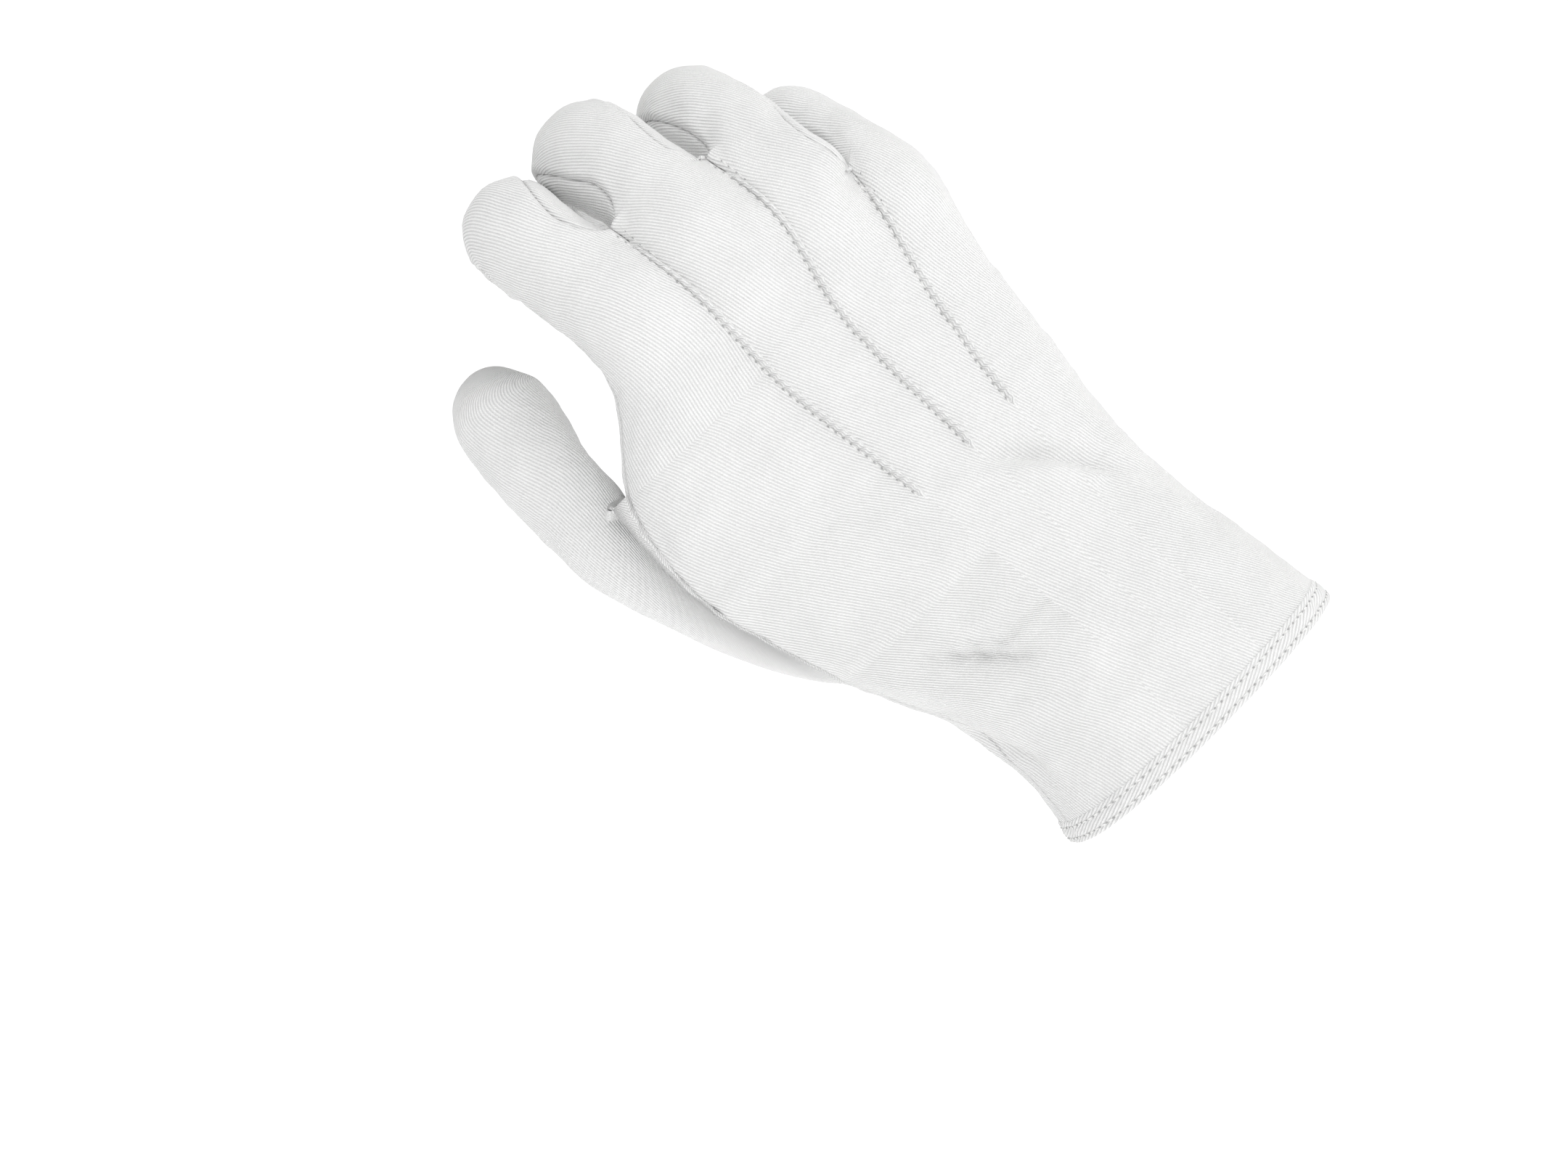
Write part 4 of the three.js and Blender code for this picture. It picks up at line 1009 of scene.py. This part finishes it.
def thumb_point(turn, t, inset):
    """A tube about the thumb's line, melting from the seam's ring, which first stands off the hand."""
    turn, t, inset = np.broadcast_arrays(turn, t, inset)
    end = 1 - np.clip(inset, 0, None) / thumb_run
    slant = THUMB_SLANT * (1 + np.cos(turn)) / 2
    station = np.minimum(t + slant * (1 - t) ** 2, end)
    at = np.linspace(0, 1, len(thumb_line))
    middle, along = on_line(station, at, thumb_line), on_line(station, at, thumb_tangent)
    across = np.array([np.cos(THUMB_FACING), np.sin(THUMB_FACING), 0])
    across = unit(across - np.sum(across * along, -1, keepdims=True) * along)
    out = np.cross(along, across)
    out = np.where(out[..., 1:2] > 0, -out, out)
    tip = round_end(station, end, tip_share)
    wave = ripple(turn * FINGER_RADIUS + THUMB_RIPPLE, station * thumb_run)
    half, thick = (
        follow(THUMB_SECTIONS["along"], THUMB_SECTIONS[name], station) * THUMB_BREADTH - inset - wave
        for name in ("half", "thick")
    )
    half = half - THUMB_PINCH * bell(station, PINCH_PLACE, PINCH_SPREAD) * np.clip(np.cos(turn), 0, 1)
    sleeve = middle + (half * tip * np.cos(turn))[..., None] * across
    sleeve = sleeve + (thick * tip * np.sin(turn))[..., None] * out
    seam_middle, seam_half = (SEAM_LOW + SEAM_HIGH) / 2, (SEAM_HIGH - SEAM_LOW) / 2
    on_seam = seam_middle + seam_half * np.cos(turn)
    z = seam_middle + (seam_half - 2 * THUMB_GAP) * np.cos(turn)
    side = np.where(np.sin(turn) >= 0, 1.0, -1.0)
    reach = np.where(side > 0, seam_turn(on_seam, 1), seam_turn(on_seam, -1))
    reach = np.clip(reach - turn_for(THUMB_GAP, np.pi, z), 0, None)
    standoff = THUMB_BALL + (THUMB_WEB - THUMB_BALL) * ((1 + np.cos(turn)) / 2) ** 2
    off = standoff * np.sin(np.pi * np.clip(t / THUMB_MERGE, 0, 1))
    ring = body_point(side * np.pi - side * reach, z, inset - off)
    return ring + (sleeve - ring) * smooth(t / THUMB_MERGE)[..., None]


def thumb_grid():
    turn = np.linspace(0, 2 * np.pi, SLEEVE_COLUMNS)[None, :]
    body = (1 - tip_share) * np.linspace(0, 1, SLEEVE_ROWS) ** SLEEVE_CROWDING
    cap = 1 - tip_share + tip_share * np.sin(quarter_turn(SLEEVE_TIP_ROWS))[1:]
    t = np.concatenate([body, cap])[:, None]
    distance = t * thumb_run
    gathers = GATHER * np.sin(GATHER_COUNT * turn + 2 * np.sin(3 * turn)) * bell(distance, 0, GATHER_REACH)
    gathers = gathers * smooth((np.cos(turn) + 0.35) / 0.6) * smooth(distance / 1.5)
    crotch = ((1 + np.cos(turn)) / 2) ** WEB_POWER
    welt = seam_relief(distance, turn * 14, 1 - crotch, 0.0)
    relief = welt - gathers * (1 - crotch) + THUMB_TUCK * bell(distance, 0, 1)
    return facing_out(lambda inset: thumb_point(turn, t, inset + relief))


thumb = make_mesh("thumb_sleeve", [thumb_grid()], cotton, KNIT)
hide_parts("thumb_panel")

# %% [markdown]
# ## Raised points and stitches
#
# Three narrow tucks run from the knuckles towards the wrist. Each is a thin ridge sewn through its foot,
# so a row of small needle holes follows it, and near the crotch a short second row leaves it. A stitch is
# a grain of thread, and a hole a flat grain of painted shade, both repeated from one small ball.

# %% Points
POINT_START = 0.53 * PALM_LENGTH
POINT_STOP = 4.0
POINT_WIDTH = 1.7
POINT_HEIGHT = 1.5
STITCH_PITCH = 2.0
STITCH_SIDE = 1.1  # from the ridge's middle
STITCH_LIFT = 0.22
STITCH_INSET = 0.02  # threads lie this much under their line, and holes above it
THREAD_SIZE = (1.3, 0.4, 0.36)  # length, width and depth
HOLE_SIZE = (0.62, 0.42, 0.24)
GRAIN_RINGS, GRAIN_SIDES = 5, 8
POINT_ROWS, POINT_COLUMNS = 260, 13
POINT_FADE = 5.0  # length of a ridge's ends
POINT_SINK, POINT_FOOT = 0.12, 0.35  # depths of its edges and of its foot under the cloth's face
SIDE_STEP, ALONG_STEP = 0.1, 0.5


def point_frame(i, s):
    """The line's place, and the directions to both sides, along and outwards, from short steps."""
    here = hand_point(i, 1.0, s, 1)
    left = unit(hand_point(i, 1 - SIDE_STEP, s, 1) - here)
    right = unit(hand_point(i + 1, SIDE_STEP, s, 1) - here)
    along = unit(hand_point(i, 1.0, s + ALONG_STEP, 1) - here)
    out = unit(np.cross(along, right - left))
    out = np.where(out[..., 1:2] > 0, -out, out)
    return here, left, right, along, out


def capped(grid):
    """Closes both ends of a loop that runs along a line."""
    size = grid.shape[1]
    first, last = (np.repeat(grid[k].mean(0)[None, None], size, 1) for k in (0, -1))
    return np.concatenate([first, grid, last])


def point_grid(i):
    stop = CROTCHES[i] - POINT_STOP
    s = np.linspace(POINT_START, stop, POINT_ROWS)
    here, left, right, _, out = point_frame(i, s)
    c = np.linspace(-1, 1, POINT_COLUMNS)[None, :, None]
    ends = smooth(np.minimum(s - POINT_START, stop - s) / POINT_FADE + 0.05)
    rumple = 1 + 0.12 * np.sin(2 * np.pi * s / STITCH_PITCH) + 0.1 * np.sin(s / 3.1)
    height = (POINT_HEIGHT * ends * rumple)[:, None, None] * np.cos(c * np.pi / 2) - POINT_SINK
    side = np.where(c < 0, left[:, None], right[:, None])
    width = POINT_WIDTH / 2 * (0.6 + 0.4 * ends)[:, None, None]
    level_grid = here[:, None] + side * np.abs(c) * width
    grid, foot = level_grid + out[:, None] * height, level_grid - out[:, None] * POINT_FOOT
    return capped(np.concatenate([grid, foot[:, ::-1], grid[:, :1]], 1))


def grain():
    """A small ball of unit radius as a grid, pole to pole along X."""
    a = np.linspace(0, np.pi, GRAIN_RINGS)[:, None]
    b = np.linspace(0, 2 * np.pi, GRAIN_SIDES + 1)[None, :]
    return np.stack(np.broadcast_arrays(np.cos(a), np.sin(a) * np.cos(b), np.sin(a) * np.sin(b)), -1)


def grains(places, along, out, size):
    """One ball for each place, stretched along the seam, across it and outwards."""
    across = unit(np.cross(out, along))
    ball = grain()[None]
    spread = (slice(None), None, None)
    grid = places[spread]
    for k, direction in enumerate((along, across, unit(np.cross(along, across)))):
        grid = grid + ball[..., k : k + 1] * direction[spread] * size[k] / 2
    return list(grid)


threads, holes = [], []


def sew(places, along, out):
    """Threads between the holes, and a hole at each end of a thread."""
    threads.extend(grains(places - out * STITCH_INSET, along, out, THREAD_SIZE))
    between = places[:-1] + (places[1:] - places[:-1]) / 2
    holes.extend(grains(between + out[:-1] * STITCH_INSET, along[:-1], out[:-1], HOLE_SIZE))


LONG_ROW_START, ROWS_STOP = 3, 1.5
SHORT_ROW, ROW_SWING = 9, 0.06


def point_stitches(i):
    """One row down the thumb's side of the ridge, and a short one that leaves it towards the crotch."""
    stop = CROTCHES[i] - ROWS_STOP
    rows = ((STITCH_SIDE, POINT_START + LONG_ROW_START, 0.0), (-STITCH_SIDE, stop - SHORT_ROW, -ROW_SWING))
    for offset, start, swing in rows:
        s = np.arange(start, stop, STITCH_PITCH)
        here, left, right, along, out = point_frame(i, s)
        reach = (abs(offset) + np.abs(swing) * (s - start))[:, None]
        side = left if offset > 0 else right
        sew(here + side * reach + out * STITCH_LIFT, along, out)


for i in range(LAST):
    ridge = make_mesh(f"raised_point_{i + 1}", [point_grid(i)], cotton)
    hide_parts(f"back_point_{i + 1}")
    point_stitches(i)

# %% [markdown]
# ## Hem and binding
#
# The cuff's edge is turned in and sewn with two rows, and a folded ribbon of the same knit binds the
# vent. Both are a rounded profile carried along an edge: the profile's two coordinates are the place over
# the band's width and the depth into the cloth.

# %% Band profile
BAND_SIDES = 56
GROOVE_DEPTH, GROOVE_REACH = 0.22, 0.5
THREAD_BED = 0.15  # depth of the sewing in its groove
HEM_GROOVES = (0.24, 0.72)
HEM_RUMPLE = 0.12


def band_profile(width, groove_places):
    """A rounded flat loop: width share, and inset, with shallow grooves on its outer face."""
    a = np.linspace(0, 2 * np.pi, BAND_SIDES + 1)
    over = 0.5 - 0.5 * np.sign(np.cos(a)) * np.abs(np.cos(a)) ** 0.7
    deep = np.sign(np.sin(a)) * np.abs(np.sin(a)) ** 0.45
    half = CLOTH / 2 + SWELL
    inset = CLOTH / 2 - half * deep
    for groove in groove_places:
        inset = inset + GROOVE_DEPTH * bell((over - groove) * width, 0, GROOVE_REACH) * (deep > 0)
    return over, inset


def swollen(inset, more):
    """The band's profile grown or shrunk all round."""
    return inset + more * np.sign(CLOTH / 2 - inset)


def hem_stations(round_rows, flap):
    """Shares of the way round the cuff, and then out along the flap."""
    t = np.concatenate([np.linspace(0, 1, round_rows), np.ones(len(flap))])
    return t, np.concatenate([np.zeros(round_rows), flap])


def hem_path(over, inset, t, part):
    """The hem's place: round the cuff for t, then out along the turned flap for part."""
    z = HEM_WIDTH * over + 0 * t
    start = vent_turn("thumb", PANEL_RADIUS, z) + 2 * np.pi
    stop = vent_turn("fold", PANEL_RADIUS, z)
    rumple = HEM_RUMPLE * np.sin(150 * t + 2 * np.sin(31 * t)) * np.sin(np.pi * over)
    round_cuff = body_point(start + (stop - start) * t, z, inset + rumple)
    return np.where((part > 0)[..., None], flap_point(vent_size("flap", z) * part, z, inset), round_cuff)


def hem_grid():
    over, inset = (v[None, :] for v in band_profile(HEM_WIDTH, HEM_GROOVES))
    t, part = (v[:, None] for v in hem_stations(420, np.linspace(0, 1, 31)[1:]))
    return capped(facing_out(lambda more: hem_path(over, swollen(inset, more), t, part + 0 * over)))


hem = make_mesh("turned_hem", [hem_grid()], ribbon)
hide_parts("cuff_hem")


def sew_path(place, pitch):
    """Stitches an even pitch apart along a path; out is away from the place a little deeper in the cloth."""
    dense = place(-SWELL)
    length = running(dense)
    even = np.arange(1.0, length[-1] - 0.5, pitch)
    spots, inner = on_line(even, length, dense), on_line(even, length, place(CLOTH))
    sew(spots, unit(np.gradient(spots, axis=0)), unit(spots - inner))


dense_t, dense_part = hem_stations(500, np.linspace(0.02, 1, 40))
same = np.ones(len(dense_t))
for groove in HEM_GROOVES:
    sew_path(lambda inset: hem_path(groove * same, (inset + THREAD_BED) * same, dense_t, dense_part), 2.1)

# %% [markdown]
# ### Binding
#
# The ribbon climbs the thumb's side of the vent, rounds its top and goes down the turned flap's edge.

# %% Binding
BINDING_GROOVE = 0.78


def binding_path(over, inset, leg, at):
    """Leg 0 climbs the thumb's side by height, leg 1 rounds the top by angle, leg 2 goes down the flap."""
    radius = VENT_RADIUS + BINDING_WIDTH * over
    height = np.where(leg == 1, VENT_CENTRE + radius * np.cos(at), at)
    height = np.clip(height, 0, None)
    centre = turn_at(line_x(PALM_LINES, 0, height), height, -1)
    climb = body_point(vent_turn("thumb", radius, height), height, inset)
    rounded = body_point(centre + turn_for(radius * np.sin(at), centre, height), height, inset)
    flap = flap_point(vent_size("flap", height) + 1.5 * SEAM_GAP + BINDING_WIDTH * (1 - over), height, inset)
    leg = leg[..., None]
    return np.where(leg == 0, climb, np.where(leg == 1, rounded, flap))


def binding_stations(fine):
    up = np.linspace(0, VENT_CENTRE, 5 * fine)[:-1]
    leg = np.concatenate([np.zeros(len(up)), np.ones(4 * fine), np.full(len(up), 2)])
    at = np.concatenate([up, np.linspace(-np.pi / 2, np.pi / 2, 4 * fine), up[::-1]])
    return leg, at


def binding_grid():
    over, inset = (v[None, :] for v in band_profile(BINDING_WIDTH, (BINDING_GROOVE,)))
    leg, at = (np.repeat(v[:, None], over.shape[1], 1) for v in binding_stations(26))
    return capped(facing_out(lambda more: binding_path(over, swollen(inset, more), leg, at)))


binding = make_mesh("vent_ribbon", [binding_grid()], ribbon)
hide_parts("vent_binding")
dense_leg, dense_at = binding_stations(60)
groove_line = np.full(len(dense_leg), BINDING_GROOVE)
sew_path(lambda inset: binding_path(groove_line, inset + THREAD_BED, dense_leg, dense_at), 1.9)

make_mesh("thread_stitches", threads, thread)
# The holes' dark grains are painted shade where the needle went through.
make_mesh("needle_holes", holes, painted_hole_shade)

# %% [markdown]
# ## The press stud
#
# Both halves are turned metal with pressed relief: fine radial ribs inside a raised rim and a split knob
# on the stud, and two rings of beads round a plain bore on the socket. A lathe grid takes a height that
# depends on the radius, and the ribs or beads are a cosine of the angle inside a ring. Each half has a
# plain cap on the cloth's other face.

# %% Press stud
SNAP_DIAMETER = 11.6
SNAP_HEIGHT = 1.5
SEAT_RISE = 0.4
KNOB_RADIUS, KNOB_HEIGHT = 1.8, 3.4
BORE_RADIUS = 2.3
CAP_RADIUS, CAP_THICKNESS = 3.8, 0.7
SHANK_RADIUS = 1.2
SNAP_DROP, SNAP_MARGIN = 0.56, 1.6
LATHE_PITCH = 0.12
WINDOW_SOFT = 0.15
RELIEF_START = SEAM_GAP + 0.2  # height above which a half has relief
snap_height = VENT_CENTRE * (1 - SNAP_DROP)


def stud_seat(along, up):
    away = along - SNAP_DIAMETER / 2 - SNAP_MARGIN
    z = snap_height + up
    edge = vent_turn("thumb", PANEL_RADIUS, z)
    return body_point(edge + turn_for(away, edge, z), z, 0)


def socket_seat(along, up):
    reach = vent_size("flap", snap_height) - SNAP_MARGIN - SNAP_DIAMETER / 2
    return flap_point(reach + along, snap_height + up, CLOTH)


def seating(seat):
    """A seat's place and its outward direction, from points a third of a flange away."""
    reach = SNAP_DIAMETER / 3
    along = seat(reach, 0.0) - seat(-reach, 0.0)
    up = seat(0.0, reach) - seat(0.0, -reach)
    out = unit(np.cross(along, up))
    out = -out if out[1] < 0 else out
    return seat(0.0, 0.0) + out * SEAT_RISE, out


def lathe(profile, seat, relief=None, around=145):
    """A profile of radius and height turned about the seat's outward direction, with relief added."""
    place, out = seat
    side = unit(np.cross(out, [0.0, 0.0, 1.0]))
    top = np.cross(side, out)
    fine = []
    for (r0, h0), (r1, h1) in zip(profile, profile[1:]):
        count = max(2, int(np.hypot(r1 - r0, h1 - h0) / LATHE_PITCH) + 1)
        fine.append(np.stack([np.linspace(r0, r1, count), np.linspace(h0, h1, count)], -1)[:-1])
    fine = np.concatenate(fine + [[profile[-1]]])
    angle = np.linspace(0, 2 * np.pi, around)[None, :]
    radius, height = fine[:, :1], fine[:, 1:]
    if relief:
        height = height + relief(radius, angle, height)
    circle = np.cos(angle)[..., None] * side + np.sin(angle)[..., None] * top
    return place + radius[..., None] * circle + (height + 0 * angle)[..., None] * out


def soften(profile, rounds=2):
    """Cuts each corner at a quarter of its sides, and keeps the two ends."""
    points = np.array(profile, float)
    for _ in range(rounds):
        near, far = (points[:-1] * share + points[1:] * (1 - share) for share in (0.75, 0.25))
        cut = np.stack([near, far], 1).reshape(-1, 2)
        points = np.concatenate([points[:1], cut, points[-1:]])
    return points


def window(radius, low, high):
    return smooth((radius - low) / WINDOW_SOFT) * smooth((high - radius) / WINDOW_SOFT)


flange = SNAP_DIAMETER / 2
stud_profile = soften(
    [
        (0, SEAM_GAP), (flange, SEAM_GAP), (flange, SEAM_GAP + 0.6 * SNAP_HEIGHT),
        (flange - 0.5, SEAM_GAP + SNAP_HEIGHT), (flange - 1.1, SEAM_GAP + 0.95 * SNAP_HEIGHT),
        (flange - 1.5, SEAM_GAP + 0.45 * SNAP_HEIGHT), (KNOB_RADIUS + 0.5, SEAM_GAP + 0.55 * SNAP_HEIGHT),
        (KNOB_RADIUS * 0.75, SEAM_GAP + 0.8 * SNAP_HEIGHT), (KNOB_RADIUS * 0.75, KNOB_HEIGHT * 0.6),
        (KNOB_RADIUS * 1.02, KNOB_HEIGHT * 0.82), (KNOB_RADIUS * 0.8, KNOB_HEIGHT), (0, KNOB_HEIGHT),
    ]
)
socket_profile = soften(
    [
        (0, SEAM_GAP), (flange, SEAM_GAP), (flange, SEAM_GAP + 0.55 * SNAP_HEIGHT),
        (flange - 0.7, SEAM_GAP + 0.95 * SNAP_HEIGHT), (flange - 1.6, SEAM_GAP + 0.8 * SNAP_HEIGHT),
        (BORE_RADIUS + 1.1, SEAM_GAP + 1.25 * SNAP_HEIGHT),
        (BORE_RADIUS + 0.2, SEAM_GAP + 1.35 * SNAP_HEIGHT),
        (BORE_RADIUS, SEAM_GAP + 1.1 * SNAP_HEIGHT), (BORE_RADIUS, SEAM_GAP + 0.35 * SNAP_HEIGHT),
        (0, SEAM_GAP + 0.35 * SNAP_HEIGHT),
    ]
)


def stud_relief(radius, angle, height):
    """Radial ribs inside the rim, and a slot across the knob's top."""
    upper = height > RELIEF_START
    ribs = 0.13 * np.cos(30 * angle) * window(radius, KNOB_RADIUS + 0.7, flange - 1.3)
    slot = -0.5 * bell(radius * np.sin(angle), 0, 0.28) * (height > KNOB_HEIGHT * 0.7)
    return (ribs + slot) * upper


def socket_relief(radius, angle, height):
    """Two rings of beads."""
    upper = height > RELIEF_START
    rim = 0.16 * np.abs(np.cos(20 * angle)) * window(radius, flange - 1.7, flange - 0.5)
    inner = 0.12 * np.abs(np.cos(11 * angle)) * window(radius, BORE_RADIUS + 0.2, BORE_RADIUS + 1.1)
    return (rim + inner) * upper


stud_place, socket_place = seating(stud_seat), seating(socket_seat)
stud = make_mesh("stud_half", [lathe(stud_profile, stud_place, stud_relief)], nickel)
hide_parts("snap_stud")
socket = make_mesh("socket_half", [lathe(socket_profile, socket_place, socket_relief)], nickel)
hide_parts("snap_socket")

under = SEAT_RISE + CLOTH + 3 * SEAM_GAP
cap_profile = soften(
    [
        (0, -under - CAP_THICKNESS), (CAP_RADIUS * 0.8, -under - CAP_THICKNESS), (CAP_RADIUS, -under - 0.3),
        (CAP_RADIUS, -under), (SHANK_RADIUS, -under), (SHANK_RADIUS, -0.05), (0, -0.05),
    ],
    1,
)
caps = (("stud_cap", "stud_rivet", stud_place), ("socket_cap", "socket_rivet", socket_place))
for name, node, place in caps:
    cap = make_mesh(name, [lathe(cap_profile, place, around=73)], nickel)
    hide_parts(node)

# %% [markdown]
# ## Floor and light
#
# The photograph has a pure white ground and very soft light, a little stronger from the upper right. A
# pale floor that glows slightly, a white world and three large lamps give nearly the same even shading.

# %% Stage
FLOOR_DROP = 40.0
FLOOR_REACH = 60.0
SWEEP_RISE = 16.0
FLOOR_GLOW = 0.5
WORLD_STRENGTH = 0.67
KEY_POWER = 6.2


def make_floor():
    """A disc whose rim curves up: radius and height follow a quarter circle near the rim."""
    turn = np.linspace(0, 2 * np.pi, 97)[None, :]
    rise = np.linspace(0, np.pi / 2, 12)[1:, None]
    flat = np.array([0.0, 0.3, 2.0, FLOOR_REACH - SWEEP_RISE])[:, None]
    radius = np.concatenate([flat, flat[-1] + SWEEP_RISE * np.sin(rise)])
    height = np.concatenate([0 * flat, SWEEP_RISE * (1 - np.cos(rise))]) - FLOOR_DROP * MM
    grid = np.stack(np.broadcast_arrays(radius * np.cos(turn), radius * np.sin(turn), height), -1)
    index = np.arange(grid[..., 0].size).reshape(grid.shape[:2])
    quads = np.stack([index[:-1, :-1], index[1:, :-1], index[1:, 1:], index[:-1, 1:]], -1)
    mesh = bpy.data.meshes.new("floor")
    mesh.from_pydata(grid.reshape(-1, 3).tolist(), [], quads.reshape(-1, 4).tolist())
    maker = Maker("pale_floor")
    maker.look(Base_Color=(0.9, 0.9, 0.9, 1), Roughness=1.0)
    maker.look(Emission_Color=(1, 1, 1, 1), Emission_Strength=FLOOR_GLOW)
    mesh.materials.append(maker.material)
    floor = add_object("floor", mesh)


def make_lamp(name, direction, distance, size, power):
    """A square lamp that looks at the middle of the hand."""
    lamp = add_object(name, bpy.data.lights.new(name, "AREA"))
    lamp.data.size = size
    lamp.data.energy = power
    aim = Vector((0, 0, 0.1))
    lamp.location = aim + Vector(unit(np.asarray(direction, float))) * distance
    lamp.rotation_euler = (lamp.location - aim).to_track_quat("Z", "Y").to_euler()


make_floor()
make_lamp("key", level * 0.9 + to_camera * 0.45 + np.array([0, 0, 1.0]), 1.6, 1.2, KEY_POWER)
make_lamp("palm_fill", (0.3, 1.0, 0.5), 1.8, 1.4, KEY_POWER / 3)
make_lamp("tips_fill", (-0.2, -0.35, 1.0), 1.7, 1.4, KEY_POWER / 2)
world = bpy.context.scene.world or bpy.data.worlds.new("world")
bpy.context.scene.world = world
world.use_nodes = True
background = world.node_tree.nodes["Background"]
background.inputs["Color"].default_value = (1, 1, 1, 1)
background.inputs["Strength"].default_value = WORLD_STRENGTH
bpy.context.scene.view_settings.view_transform = "Standard"
